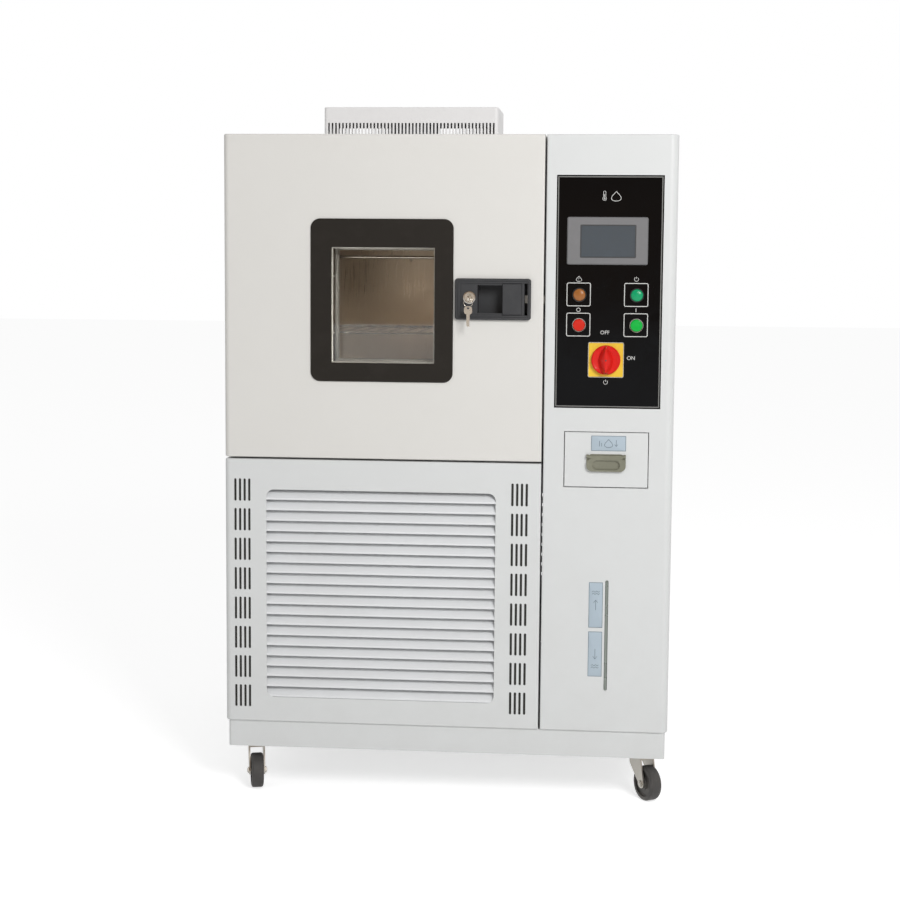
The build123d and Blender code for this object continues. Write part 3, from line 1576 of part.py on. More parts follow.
# Latch frame: a raised plate on the door's face with a deep cup for the fingers and the
# paddle, and a boss for the lock. The paddle's pins turn in its rims.
frame_mid_x = latch_x + latch_width / 2
paddle_gap = 0.5
pivot_inset = 4
pin_grip = 4
pin_end_gap = 0.5
latch_round = 6
latch_chamfer = 2.5
groove_inset = 5
groove_width = 1.5
groove_round = 3
cheek_depth = 14
land_y = front_y - latch_proud + latch_sink
cheek = (paddle_height - recess_height) / 2
pivot_x = cup_right - paddle_slot - pivot_inset
pivot_y = front_y - latch_proud / 2
with BuildPart() as latch_frame:
    with BuildSketch(front_plane()):
        with Locations((frame_mid_x, latch_z)):
            RectangleRounded(latch_width, latch_height, latch_round)
    extrude(amount=latch_proud)
    chamfer(latch_frame.faces().sort_by(Axis.Y)[0].edges(), latch_chamfer)
    with BuildSketch(front_plane(-latch_proud)):
        with Locations((frame_mid_x, latch_z)):
            RectangleRounded(latch_width - 2 * groove_inset, latch_height - 2 * groove_inset, groove_round)
            Rectangle(
                latch_width - 2 * (groove_inset + groove_width),
                latch_height - 2 * (groove_inset + groove_width),
                mode=Mode.SUBTRACT,
            )
    extrude(amount=-groove_width, mode=Mode.SUBTRACT)
    block(
        latch_x + latch_rim,
        cup_right,
        front_y - latch_proud,
        front_y - latch_proud + latch_sink,
        latch_z - cup_half,
        latch_z + cup_half,
        Mode.SUBTRACT,
    )
    block(
        cup_left - latch_wall,
        cup_right + latch_wall,
        front_y,
        front_y + recess_depth + latch_wall,
        latch_z - cup_half - latch_wall,
        latch_z + cup_half + latch_wall,
    )
    block(
        cup_left,
        cup_right,
        front_y - latch_proud,
        front_y + recess_depth,
        latch_z - cup_half,
        latch_z + cup_half,
        Mode.SUBTRACT,
    )
    for edge_z in (latch_z - cup_half, latch_z + recess_height / 2):
        block(cup_left, cup_left + recess_width, land_y, land_y + cheek_depth, edge_z, edge_z + cheek)
    with BuildSketch(front_plane()):
        with Locations((lock_x, lock_z)):
            Circle(lock_boss_radius)
    extrude(amount=-lock_boss_length)
    with BuildSketch(front_plane(-latch_proud + latch_sink)):
        with Locations((lock_x, lock_z)):
            Circle(plug_radius + running_clearance)
    extrude(amount=-plug_length, mode=Mode.SUBTRACT)
    with Locations((pivot_x, pivot_y, latch_z)):
        Cylinder(
            pivot_radius + running_clearance,
            2 * (cup_half + pin_grip + pin_end_gap),
            mode=Mode.SUBTRACT,
        )
    block(
        cup_right - latch_wall,
        cup_right + 2 * latch_wall,
        front_y + bolt_depth - side_seat,
        front_y + bolt_depth + bolt_thickness + side_seat,
        latch_z - bolt_height / 2 - side_seat,
        latch_z + bolt_height / 2 + side_seat,
        Mode.SUBTRACT,
    )
latch_frame.part.label = "latch_frame"
export_step(latch_frame.part, "parts/latch_frame.step")

# Latch paddle: a flat grip plate that turns on two pins at its right end. Its arm
# reaches into the cup and draws the bolt.
paddle_left = cup_left + recess_width + paddle_gap
paddle_round = 1.5
pivot_wall = 1
paddle_right = pivot_x + pivot_inset
paddle_half = cup_half - paddle_gap
tip_y = pivot_y + arm_reach
with BuildPart() as latch_paddle:
    block(
        paddle_left,
        paddle_right,
        land_y,
        land_y + paddle_thickness,
        latch_z - paddle_half,
        latch_z + paddle_half,
    )
    fillet(latch_paddle.faces().sort_by(Axis.Y)[0].edges(), paddle_round)
    with Locations((pivot_x, pivot_y, latch_z)):
        Cylinder(pivot_radius, 2 * (cup_half + pin_grip))
        Cylinder(pivot_radius + pivot_wall, 2 * paddle_half)
    block(
        pivot_x - arm_tip_radius,
        pivot_x + arm_tip_radius,
        pivot_y,
        tip_y,
        latch_z - bolt_height / 4,
        latch_z + bolt_height / 4,
    )
    with Locations((pivot_x, tip_y, latch_z)):
        Cylinder(arm_tip_radius, bolt_height / 2)
latch_paddle.part.label = "latch_paddle"
export_step(latch_paddle.part, "parts/latch_paddle.step")

# Latch bolt: a square bar with a notch for the paddle's arm and a rounded nose that
# stands a little out of the door's edge.
notch_near = 0.6
notch_far = 6
notch_floor = 1.5
bolt_tail = 5
nose_flat = 0.5
notch_depth = tip_y + arm_tip_radius + notch_floor - (front_y + bolt_depth)
bolt_left = pivot_x - arm_tip_radius - notch_near - bolt_tail
with BuildPart() as latch_bolt:
    block(
        bolt_left,
        door_right_x + bolt_nose,
        front_y + bolt_depth,
        front_y + bolt_depth + bolt_thickness,
        latch_z - bolt_height / 2,
        latch_z + bolt_height / 2,
    )
    fillet(latch_bolt.faces().sort_by(Axis.X)[-1].edges().filter_by(Axis.Z), bolt_nose - nose_flat)
    block(
        pivot_x - arm_tip_radius - notch_near,
        pivot_x + arm_tip_radius + notch_far,
        front_y + bolt_depth,
        front_y + bolt_depth + notch_depth,
        latch_z - bolt_height / 2,
        latch_z + bolt_height / 2,
        Mode.SUBTRACT,
    )
latch_bolt.part.label = "latch_bolt"
export_step(latch_bolt.part, "parts/latch_bolt.step")

# Lock plug with the key in it, and the ring with the spare key that hangs on the bow.
bow_y = front_y - key_reach
ring_y = bow_y - bow_radius / 2
key_shank = 7
plug_proud = 1
ring_play = 1
with BuildPart() as door_key:
    with BuildSketch(front_plane(-latch_proud + latch_sink - plug_proud)):
        with Locations((lock_x, lock_z)):
            Circle(plug_radius)
    extrude(amount=-plug_length)
    block(
        lock_x - bow_thickness / 2,
        lock_x + bow_thickness / 2,
        bow_y,
        land_y,
        lock_z - key_shank / 2,
        lock_z + key_shank / 2,
    )
    with BuildSketch(Plane.YZ.offset(lock_x)):
        with Locations((bow_y, lock_z)):
            Circle(bow_radius)
    extrude(amount=bow_thickness / 2, both=True)
    with BuildSketch(Plane.YZ.offset(lock_x)):
        with Locations((ring_y, lock_z)):
            Circle(bow_radius / 2 - ring_play)
    extrude(amount=bow_thickness, both=True, mode=Mode.SUBTRACT)
door_key.part.label = "door_key"
export_step(door_key.part, "parts/door_key.step")

ring_z = lock_z - ring_drop
spare_overlap = 2
spare_bow_z = ring_z - 2 * ring_radius - bow_radius + spare_overlap
with BuildPart() as spare_key:
    with BuildSketch(Plane(origin=(lock_x, ring_y, ring_z), x_dir=(0, 1, 0), z_dir=(1, 0, 0))):
        RegularPolygon(ring_wire, 8)
    revolve(axis=Axis((lock_x, ring_y, ring_z - ring_radius), (0, 1, 0)))
    with BuildSketch(front_plane(ring_y - ring_wire - front_y)):
        with Locations((lock_x, spare_bow_z)):
            Circle(bow_radius)
        with Locations((lock_x, spare_bow_z - spare_length / 2)):
            Rectangle(key_shank, spare_length)
    extrude(amount=-2 * ring_wire)
spare_key.part.label = "spare_key"
export_step(spare_key.part, "parts/spare_key.step")

# Two hinges on the left side. The leaf on the body carries the pin, and the leaf on the
# door has the knuckle that turns on it.
hinge_x = left_x - knuckle_radius
hinge_y = front_y + door_depth + seal_gap / 2
hinge_heights = (door_z + hinge_inset, roof_z - hinge_inset)
leaf_gap = 1.5
pin_sink = 3
half_length = hinge_length / 2
with BuildPart() as hinge_body_leaves:
    for hinge_z in hinge_heights:
        block(
            left_x - hinge_leaf,
            left_x,
            mouth_y + leaf_gap,
            mouth_y + leaf_gap + hinge_leaf_depth,
            hinge_z - half_length,
            hinge_z + half_length,
        )
        block(
            left_x - hinge_leaf,
            left_x,
            hinge_y,
            mouth_y + leaf_gap,
            hinge_z - half_length,
            hinge_z - side_seat,
        )
        with Locations((hinge_x, hinge_y, hinge_z - half_length)):
            Cylinder(knuckle_radius, half_length - side_seat, align=(Align.CENTER, Align.CENTER, Align.MIN))
            Cylinder(
                hinge_pin_radius,
                hinge_length - pin_sink,
                align=(Align.CENTER, Align.CENTER, Align.MIN),
            )
hinge_body_leaves.part.label = "hinge_body_leaves"
export_step(hinge_body_leaves.part, "parts/hinge_body_leaves.step")

with BuildPart() as hinge_door_leaves:
    for hinge_z in hinge_heights:
        block(
            left_x - hinge_leaf,
            left_x,
            door_back_y - leaf_gap - hinge_leaf_depth,
            door_back_y - leaf_gap,
            hinge_z - half_length,
            hinge_z + half_length,
        )
        block(
            left_x - hinge_leaf,
            left_x,
            door_back_y - leaf_gap,
            hinge_y,
            hinge_z,
            hinge_z + half_length,
        )
        with Locations((hinge_x, hinge_y, hinge_z)):
            Cylinder(knuckle_radius, half_length, align=(Align.CENTER, Align.CENTER, Align.MIN))
            Cylinder(
                hinge_pin_radius + running_clearance,
                half_length,
                align=(Align.CENTER, Align.CENTER, Align.MIN),
                mode=Mode.SUBTRACT,
            )
hinge_door_leaves.part.label = "hinge_door_leaves"
export_step(hinge_door_leaves.part, "parts/hinge_door_leaves.step")
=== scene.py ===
from math import pi, radians

import bmesh
import bpy
import numpy as np
from mathutils import Matrix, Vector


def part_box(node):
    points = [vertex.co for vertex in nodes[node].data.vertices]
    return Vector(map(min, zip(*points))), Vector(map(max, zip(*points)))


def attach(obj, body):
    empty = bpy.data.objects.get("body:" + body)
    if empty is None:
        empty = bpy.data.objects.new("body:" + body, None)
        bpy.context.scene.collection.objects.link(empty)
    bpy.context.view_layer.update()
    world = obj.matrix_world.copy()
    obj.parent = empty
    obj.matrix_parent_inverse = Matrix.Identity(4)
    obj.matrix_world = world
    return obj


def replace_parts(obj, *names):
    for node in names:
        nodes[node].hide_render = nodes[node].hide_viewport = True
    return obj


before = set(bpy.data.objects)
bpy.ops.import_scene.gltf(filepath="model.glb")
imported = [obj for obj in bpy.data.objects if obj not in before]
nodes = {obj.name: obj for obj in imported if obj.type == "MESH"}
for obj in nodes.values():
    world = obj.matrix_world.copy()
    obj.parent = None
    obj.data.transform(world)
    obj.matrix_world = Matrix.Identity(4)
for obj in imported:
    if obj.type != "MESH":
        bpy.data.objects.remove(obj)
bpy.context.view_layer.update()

# Viewpoint: a plain camera at head height, a little right of the cabinet's middle and
# turned slightly down and to the left, so that roof and sides stay out of view.
camera_data = bpy.data.cameras.new("camera")
camera_data.sensor_width = 36
camera_data.lens = 72
camera = bpy.data.objects.new("camera", camera_data)
camera.matrix_world = Matrix((
    (0.9956, -0.0174, 0.0925, 0.365),
    (0.0938, 0.1024, -0.9903, -4.201),
    (0.0077, 0.9946, 0.1035, 1.149),
    (0, 0, 0, 1),
))
bpy.context.scene.collection.objects.link(camera)
bpy.context.scene.camera = camera
bpy.context.scene.view_settings.view_transform = "Standard"


def shader(tree, kind, **settings):
    """Adds one shader node. A key that names a property sets it, and any other key names a
    socket, with spaces as underlines, which takes the value or is linked to the output given."""
    node = tree.nodes.new("ShaderNode" + kind)
    for key, value in settings.items():
        if hasattr(node, key):
            setattr(node, key, value)
            continue
        socket = node.inputs[int(key[1:])] if key[1:].isdigit() else node.inputs[key.replace("_", " ")]
        if isinstance(value, bpy.types.NodeSocket):
            tree.links.new(value, socket)
        else:
            socket.default_value = value
    return node


def empty_material(name):
    """A material with nodes, and its empty tree."""
    material = bpy.data.materials.new(name)
    material.use_nodes = True
    material.node_tree.nodes.clear()
    return material, material.node_tree


# Studio: a white seamless floor that keeps a faint shadow, and a white surround. What lies
# behind the camera is a dim warm room, which only glass and polished metal mirror.
world = bpy.data.worlds.new("studio")
world.use_nodes = True
bpy.context.scene.world = world
sky = world.node_tree
sky.nodes.clear()
seen = shader(sky, "LightPath")
direction_from = shader(sky, "TexCoord")
direction = shader(sky, "SeparateXYZ", Vector=direction_from.outputs["Generated"])
room = shader(sky, "TexNoise", Vector=direction_from.outputs["Generated"], Scale=3.5, Detail=2.0, Distortion=0.8)
spread = shader(sky, "MapRange", Value=room.outputs["Fac"], From_Min=0.42, From_Max=0.62)
dim = shader(sky, "Mix", data_type="RGBA", i0=spread.outputs[0], i6=(0.1, 0.07, 0.045, 1), i7=(0.62, 0.45, 0.31, 1))
ahead = shader(sky, "MapRange", Value=direction.outputs["Y"], From_Min=-0.6, From_Max=0.1)
around = shader(sky, "Mix", data_type="RGBA", i0=ahead.outputs[0], i6=dim.outputs[2], i7=(1, 1, 1, 1))
mirrored = shader(sky, "Math", operation="MAXIMUM", i0=seen.outputs["Is Glossy Ray"], i1=seen.outputs["Is Transmission Ray"])
soft = shader(sky, "Mix", data_type="RGBA", i0=mirrored.outputs[0], i6=(0.43, 0.43, 0.43, 1), i7=around.outputs[2])
level = shader(sky, "Mix", data_type="RGBA", i0=seen.outputs["Is Camera Ray"], i6=soft.outputs[2], i7=(1, 1, 1, 1))
surround = shader(sky, "Background", Color=level.outputs[2], Strength=1.0)
shader(sky, "OutputWorld", Surface=surround.outputs[0])

floor_data = bpy.data.meshes.new("floor")
floor_data.from_pydata([(-30, -30, 0), (30, -30, 0), (30, 30, 0), (-30, 30, 0)], [], [(0, 1, 2, 3)])
floor = bpy.data.objects.new("floor", floor_data)
bpy.context.scene.collection.objects.link(floor)
floor_finish, tree = empty_material("studio_floor")
seen = shader(tree, "LightPath")
mirrored = shader(tree, "Math", operation="MAXIMUM", i0=seen.outputs["Is Glossy Ray"], i1=seen.outputs["Is Transmission Ray"])
lifted = shader(tree, "Math", operation="MAXIMUM", i0=seen.outputs["Is Camera Ray"], i1=mirrored.outputs[0])
glow = shader(tree, "Math", operation="MULTIPLY", i0=lifted.outputs[0], i1=0.62)
ground = shader(tree, "BsdfDiffuse", Color=(0.8, 0.8, 0.8, 1))
lift = shader(tree, "Emission", Strength=glow.outputs[0])
both = shader(tree, "AddShader", i0=ground.outputs[0], i1=lift.outputs[0])
shader(tree, "OutputMaterial", Surface=both.outputs[0])
floor_data.materials.append(floor_finish)

for name, place, turn, size, watts in (
    ("key_lamp", (1.7, -3.6, 2.5), (65, 0, 28), 1.3, 92),
    ("fill_lamp", (-2.6, -3.4, 1.2), (88, 0, -38), 2.0, 7),
):
    lamp_data = bpy.data.lights.new(name, "AREA")
    lamp_data.size = size
    lamp_data.energy = watts
    lamp = bpy.data.objects.new(name, lamp_data)
    lamp.location = place
    lamp.rotation_euler = [radians(a) for a in turn]
    bpy.context.scene.collection.objects.link(lamp)


def node_group(name, inputs, outputs):
    """An empty shader node group with inputs and their defaults, and named outputs."""
    group = bpy.data.node_groups.new(name, "ShaderNodeTree")
    for title, value in inputs:
        kind = "Vector" if isinstance(value, tuple) else "Float"
        socket = group.interface.new_socket(title, in_out="INPUT", socket_type="NodeSocket" + kind)
        socket.default_value = value
    for title, kind in outputs:
        group.interface.new_socket(title, in_out="OUTPUT", socket_type="NodeSocket" + kind)
    start = group.nodes.new("NodeGroupInput")
    end = group.nodes.new("NodeGroupOutput")
    return group, start, end


def use_group(tree, group, **settings):
    """Places a node group in a material and fills its inputs."""
    node = tree.nodes.new("ShaderNodeGroup")
    node.node_tree = group
    for key, value in settings.items():
        node.inputs[key.replace("_", " ")].default_value = value
    return node


# Powder coat: the body panels are folded from sheet steel and oven painted. The coat has
# the fine orange peel of powder paint, dust that settles low down, and faint wipe marks.
peel, start, end = node_group("orange_peel", [("Scale", 700.0)], [("Height", "Float")])
place = shader(peel, "TexCoord")
coarse = shader(peel, "TexNoise", Vector=place.outputs["Object"], Scale=start.outputs["Scale"], Detail=2.0)
fine = shader(peel, "TexVoronoi", Vector=place.outputs["Object"], Scale=1900.0, feature="SMOOTH_F1")
height = shader(peel, "Math", operation="MULTIPLY_ADD", i0=fine.outputs["Distance"], i1=0.35, i2=coarse.outputs["Fac"])
peel.links.new(height.outputs[0], end.inputs["Height"])

wiped, start, end = node_group(
    "wipe_marks", [("Low", 0.35), ("High", 0.5), ("Dust", 0.06)], [("Roughness", "Float"), ("Dust", "Float")]
)
place = shader(wiped, "TexCoord")
slant = shader(wiped, "Mapping", Vector=place.outputs["Object"], Rotation=(0.3, 0.5, 0.2), Scale=(2.2, 2.2, 9.0))
smear = shader(wiped, "TexNoise", Vector=slant.outputs[0], Scale=1.6, Detail=5.0, Roughness=0.62, Distortion=0.6)
rough = shader(
    wiped, "MapRange", Value=smear.outputs["Fac"], From_Min=0.3, From_Max=0.7,
    To_Min=start.outputs["Low"], To_Max=start.outputs["High"],
)
wiped.links.new(rough.outputs[0], end.inputs["Roughness"])
spots = shader(wiped, "TexNoise", Vector=place.outputs["Object"], Scale=5.0, Detail=6.0, Roughness=0.7)
upright = shader(wiped, "SeparateXYZ", Vector=place.outputs["Object"])
low_down = shader(wiped, "MapRange", Value=upright.outputs["Z"], From_Min=0.1, From_Max=0.8, To_Min=1.0, To_Max=0.25)
patch = shader(wiped, "MapRange", Value=spots.outputs["Fac"], From_Min=0.42, From_Max=0.75)
settled = shader(wiped, "Math", operation="MULTIPLY", i0=low_down.outputs[0], i1=patch.outputs[0])
amount = shader(wiped, "Math", operation="MULTIPLY", i0=settled.outputs[0], i1=start.outputs["Dust"])
wiped.links.new(amount.outputs[0], end.inputs["Dust"])


def painted(name, colour, dust_colour=(0.33, 0.3, 0.26), low=0.34, high=0.46, dust=0.1, peel_depth=0.00005, scale=700.0):
    """Paint on sheet metal: a colour that dust tints, wiped gloss and an orange peel bump."""
    material, tree = empty_material(name)
    marks = use_group(tree, wiped, Low=low, High=high, Dust=dust)
    tone = shader(
        tree, "Mix", data_type="RGBA", i0=marks.outputs["Dust"], i6=(*colour, 1), i7=(*dust_colour, 1)
    )
    texture = use_group(tree, peel, Scale=scale)
    bump = shader(tree, "Bump", Strength=0.35, Distance=peel_depth, Height=texture.outputs["Height"])
    coat = shader(
        tree, "BsdfPrincipled", Base_Color=tone.outputs[2], Roughness=marks.outputs["Roughness"], Normal=bump.outputs[0]
    )
    shader(tree, "OutputMaterial", Surface=coat.outputs[0])
    return material


def dress(finish, *names):
    """Gives carried-over nodes their finish."""
    for name in names:
        data = nodes[name].data
        data.materials.clear()
        data.materials.append(finish)


panel_paint = painted("panel_paint", (0.69, 0.7, 0.695))
dress(panel_paint, "column_panel", "machine_panel", "left_side_panel", "right_side_panel", "roof_panel", "rear_panel")
dress(panel_paint, "mouth_frame", "base_frame", "water_drawer")
dress(painted("grille_paint", (0.79, 0.8, 0.81)), "louvre_grille")
dress(painted("cover_paint", (0.86, 0.845, 0.84)), "motor_cover")
dress(painted("door_paint", (0.72, 0.705, 0.672)), "door_shell")


# Turned, carried and outlined surfaces: grids of points, joined into one closed mesh.
def grid_faces(rows, columns, wrap_rows=False, wrap_columns=True):
    """Quads between neighbours of a rows by columns grid, each as four corner numbers."""
    i = np.arange(rows if wrap_rows else rows - 1)
    j = np.arange(columns if wrap_columns else columns - 1)
    i, j = (a.ravel() for a in np.meshgrid(i, j, indexing="ij"))
    up, right = (i + 1) % rows, (j + 1) % columns
    return np.stack([i * columns + j, up * columns + j, up * columns + right, i * columns + right], 1)


def piece(name, parts, finish, body, smooth=35):
    """One mesh object from (points, faces) parts in metres. Points that meet are merged, so
    that seams and poles close, and faces are turned outwards."""
    points, faces, first = [], [], 0
    for some_points, some_faces in parts:
        some_points = np.asarray(some_points, float).reshape(-1, 3)
        points.append(some_points)
        faces += [[int(v) + first for v in face] for face in some_faces]
        first += len(some_points)
    data = bpy.data.meshes.new(name)
    data.from_pydata(np.concatenate(points).tolist(), [], faces)
    form = bmesh.new()
    form.from_mesh(data)
    bmesh.ops.remove_doubles(form, verts=form.verts, dist=1e-6)
    bmesh.ops.dissolve_degenerate(form, edges=form.edges, dist=1e-7)
    bmesh.ops.recalc_face_normals(form, faces=form.faces)
    form.to_mesh(data)
    form.free()
    data.shade_smooth()
    data.set_sharp_from_angle(angle=radians(smooth))
    data.materials.append(finish)
    made = bpy.data.objects.new(name, data)
    bpy.context.scene.collection.objects.link(made)
    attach(made, body)
    return made


def local_axes(axis):
    """Two unit vectors across an axis, which make a right-handed set with it."""
    axis = np.array(axis, float) / np.linalg.norm(axis)
    helper = np.array((0, 0, 1.0)) if abs(axis[2]) < 0.9 else np.array((1.0, 0, 0))
    across = np.cross(helper, axis)
    across /= np.linalg.norm(across)
    return across, np.cross(axis, across), axis


def turned(profile, centre, axis, steps=32):
    """A profile of (radius, height) turned round an axis through the centre. The point at
    angle t is centre + radius * (cos t * across + sin t * up) + height * axis."""
    across, up, along = local_axes(axis)
    radius, height = np.array(profile, float).T
    t = np.linspace(0, 2 * pi, steps, endpoint=False)
    ring = np.cos(t)[:, None] * across + np.sin(t)[:, None] * up
    points = np.array(centre) + radius[:, None, None] * ring + height[:, None, None] * along
    return points, grid_faces(len(profile), steps)


def box_part(low, high):
    """A box between two corners, as eight points and six faces."""
    points = [[(low, high)[(k >> a) & 1][a] for a in range(3)] for k in range(8)]
    return points, [(0, 1, 3, 2), (4, 5, 7, 6), (0, 1, 5, 4), (2, 3, 7, 6), (0, 2, 6, 4), (1, 3, 7, 5)]


def screw_head(centre, axis, radius=0.0034):
    """A pan head with a cross recess. Height falls from the crown as (1 - (r / R) ** 4), and
    drops by a quarter of the radius where the point lies on one of the two recess bars."""
    across, up, along = local_axes(axis)
    r = np.array((1, 1, 0.94, 0.8, 0.62, 0.55, 0.5, 0.34, 0.18, 0))[:, None]
    t = np.linspace(0, 2 * pi, 24, endpoint=False)[None]
    x, y = r * np.cos(t), r * np.sin(t)
    height = 0.55 * (1 - r**4) + 0.12 + 0 * t
    height[0] = -0.2
    bars = (np.minimum(abs(x), abs(y)) < 0.14) & (r < 0.56)
    height = np.where(bars & (r + 0 * t < 0.53), height - 0.25, height)
    points = np.array(centre) + radius * (
        x[..., None] * across + y[..., None] * up + height[..., None] * along
    )
    return points, grid_faces(len(r), 24)


# Brushed and drawn metals: long fine lines along one direction, with a soft stain.
brushed, start, end = node_group(
    "brush_lines",
    [("Stretch", (12.0, 900.0, 900.0)), ("Low", 0.25), ("High", 0.42)],
    [("Roughness", "Float"), ("Height", "Float"), ("Stain", "Float")],
)
place = shader(brushed, "TexCoord")
lines_at = shader(brushed, "VectorMath", operation="MULTIPLY", i0=place.outputs["Object"], i1=start.outputs["Stretch"])
lines = shader(brushed, "TexNoise", Vector=lines_at.outputs[0], Scale=1.0, Detail=3.0, Roughness=0.6)
cloud = shader(brushed, "TexNoise", Vector=place.outputs["Object"], Scale=7.0, Detail=4.0, Roughness=0.6)
mixed = shader(brushed, "Math", operation="MULTIPLY_ADD", i0=lines.outputs["Fac"], i1=0.6, i2=0.0)
total = shader(brushed, "Math", operation="MULTIPLY_ADD", i0=cloud.outputs["Fac"], i1=0.4, i2=mixed.outputs[0])
rough = shader(
    brushed, "MapRange", Value=total.outputs[0], From_Min=0.3, From_Max=0.7,
    To_Min=start.outputs["Low"], To_Max=start.outputs["High"],
)
brushed.links.new(rough.outputs[0], end.inputs["Roughness"])
brushed.links.new(lines.outputs["Fac"], end.inputs["Height"])
stain = shader(brushed, "MapRange", Value=cloud.outputs["Fac"], From_Min=0.45, From_Max=0.75)
brushed.links.new(stain.outputs[0], end.inputs["Stain"])


def metal(name, colour, stain_colour=None, stretch=(12.0, 900.0, 900.0), low=0.22, high=0.4, stained=0.35, line_depth=0.00003):
    """Metal with brush lines: the stain tints the colour, the lines shift gloss and bump."""
    stain_colour = stain_colour or tuple(0.6 * c for c in colour)
    material, tree = empty_material(name)
    lines = use_group(tree, brushed, Stretch=stretch, Low=low, High=high)
    share = shader(tree, "Math", operation="MULTIPLY", i0=lines.outputs["Stain"], i1=stained)
    tone = shader(tree, "Mix", data_type="RGBA", i0=share.outputs[0], i6=(*colour, 1), i7=(*stain_colour, 1))
    bump = shader(tree, "Bump", Strength=0.25, Distance=line_depth, Height=lines.outputs["Height"])
    face = shader(
        tree, "BsdfPrincipled", Base_Color=tone.outputs[2], Metallic=1.0,
        Roughness=lines.outputs["Roughness"], Normal=bump.outputs[0],
    )
    shader(tree, "OutputMaterial", Surface=face.outputs[0])
    return material


# Screws of the outer panels: zinc plated pan heads along the edges of both side panels,
# round the rear panel and along the foot of the motor cover.
screw_metal = metal("screw_metal", (0.56, 0.55, 0.52), stretch=(500.0, 500.0, 500.0), low=0.25, high=0.45)
low, high = (np.array(v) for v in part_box("rear_panel"))
heads = []
for height in np.linspace(low[2] + 0.02, high[2] - 0.02, 6):
    heads += [screw_head((x, high[1], height), (0, 1, 0)) for x in (low[0] + 0.012, high[0] - 0.012)]
for across in np.linspace(low[0] + 0.2, high[0] - 0.2, 4):
    heads += [screw_head((across, high[1], z), (0, 1, 0)) for z in (low[2] + 0.012, high[2] - 0.012)]
for node, side in (("left_side_panel", -1), ("right_side_panel", 1)):
    low, high = (np.array(v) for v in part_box(node))
    face = low[0] if side < 0 else high[0]
    for height in np.linspace(low[2] + 0.06, high[2] - 0.06, 4):
        heads += [screw_head((face, y, height), (side, 0, 0)) for y in (low[1] + 0.02, high[1] - 0.02)]
low, high = (np.array(v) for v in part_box("motor_cover"))
for depth in (low[1] + 0.05, high[1] - 0.05):
    heads += [screw_head((x, depth, low[2] + 0.012), (s, 0, 0), 0.003) for x, s in ((low[0], -1), (high[0], 1))]
piece("panel_screws", heads, screw_metal, "cabinet")

# Painted shade: black woven sheets set behind the slots of the machine panel and along the foot of the motor cover.
# They stand in for the shade inside the slots, so that the slots look dark.
shade_finish, tree = empty_material("painted_slot_shade")
place = shader(tree, "TexCoord")
warp = shader(tree, "TexWave", Vector=place.outputs["Object"], Scale=420.0, bands_direction="X")
weft = shader(tree, "TexWave", Vector=place.outputs["Object"], Scale=420.0, bands_direction="Z")
weave = shader(tree, "Math", operation="MULTIPLY", i0=warp.outputs["Fac"], i1=weft.outputs["Fac"])
lint = shader(tree, "TexNoise", Vector=place.outputs["Object"], Scale=60.0, Detail=4.0)
shade = shader(tree, "Math", operation="MULTIPLY_ADD", i0=weave.outputs[0], i1=0.5, i2=lint.outputs["Fac"])
# The near-black tone of these sheets is painted shade inside the slots.
tone = shader(tree, "Mix", data_type="RGBA", i0=shade.outputs[0], i6=(0.012, 0.012, 0.012, 1), i7=(0.04, 0.038, 0.034, 1))
bump = shader(tree, "Bump", Strength=0.5, Distance=0.0002, Height=weave.outputs[0])
face = shader(tree, "BsdfPrincipled", Base_Color=tone.outputs[2], Roughness=0.95, Normal=bump.outputs[0])
shader(tree, "OutputMaterial", Surface=face.outputs[0])
low, high = (np.array(v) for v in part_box("machine_panel"))
shade_parts = []
for x in (-0.4309, 0.1618):
    shade_parts.append(box_part((x - 0.025, low[1] + 0.00165, 0.19), (x + 0.025, low[1] + 0.00225, 0.69)))
piece("slot_shade_sheets", shade_parts, shade_finish, "cabinet")
low, high = (np.array(v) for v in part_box("motor_cover"))
shade_parts = [box_part((low[0] + 0.006, y, low[2] + 0.0005), (high[0] - 0.006, y + 0.0006, low[2] + 0.034))
          for y in (low[1] + 0.0018, high[1] - 0.0024)]
piece("cover_shade_sheets", shade_parts, shade_finish, "cabinet")

# Test space: a welded liner of brushed stainless steel, its duct panel, heaters, pan and
# cable port, and two shelves of drawn stainless wire.
liner_steel = metal("liner_steel", (0.7, 0.63, 0.54), (0.5, 0.41, 0.31), stretch=(900.0, 900.0, 14.0), low=0.24, high=0.4)
dress(liner_steel, "cavity_liner", "duct_panel", "humidifier_pan", "port_sleeve")
dress(metal("inner_door_steel", (0.6, 0.59, 0.56), stretch=(900.0, 900.0, 14.0), low=0.26, high=0.42), "door_liner")
dress(metal("wire_steel", (0.66, 0.65, 0.62), stretch=(300.0, 300.0, 300.0), low=0.14, high=0.26), "wire_shelves")
dress(
    metal(
        "blued_steel", (0.36, 0.31, 0.27), (0.14, 0.13, 0.17), stretch=(60.0, 400.0, 400.0),
        low=0.3, high=0.5, stained=0.8,
    ),
    "duct_heaters",
)
low, high = (np.array(v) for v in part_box("duct_panel"))
sheet_y = high[1] - 0.0012
heads = [
    screw_head((x, sheet_y, z), (0, -1, 0), 0.003)
    for x in (low[0] + 0.012, (low[0] + high[0]) / 2, high[0] - 0.012)
    for z in np.linspace(low[2] + 0.012, high[2] - 0.012, 4)
]
piece("duct_panel_screws", heads, screw_metal, "cabinet")

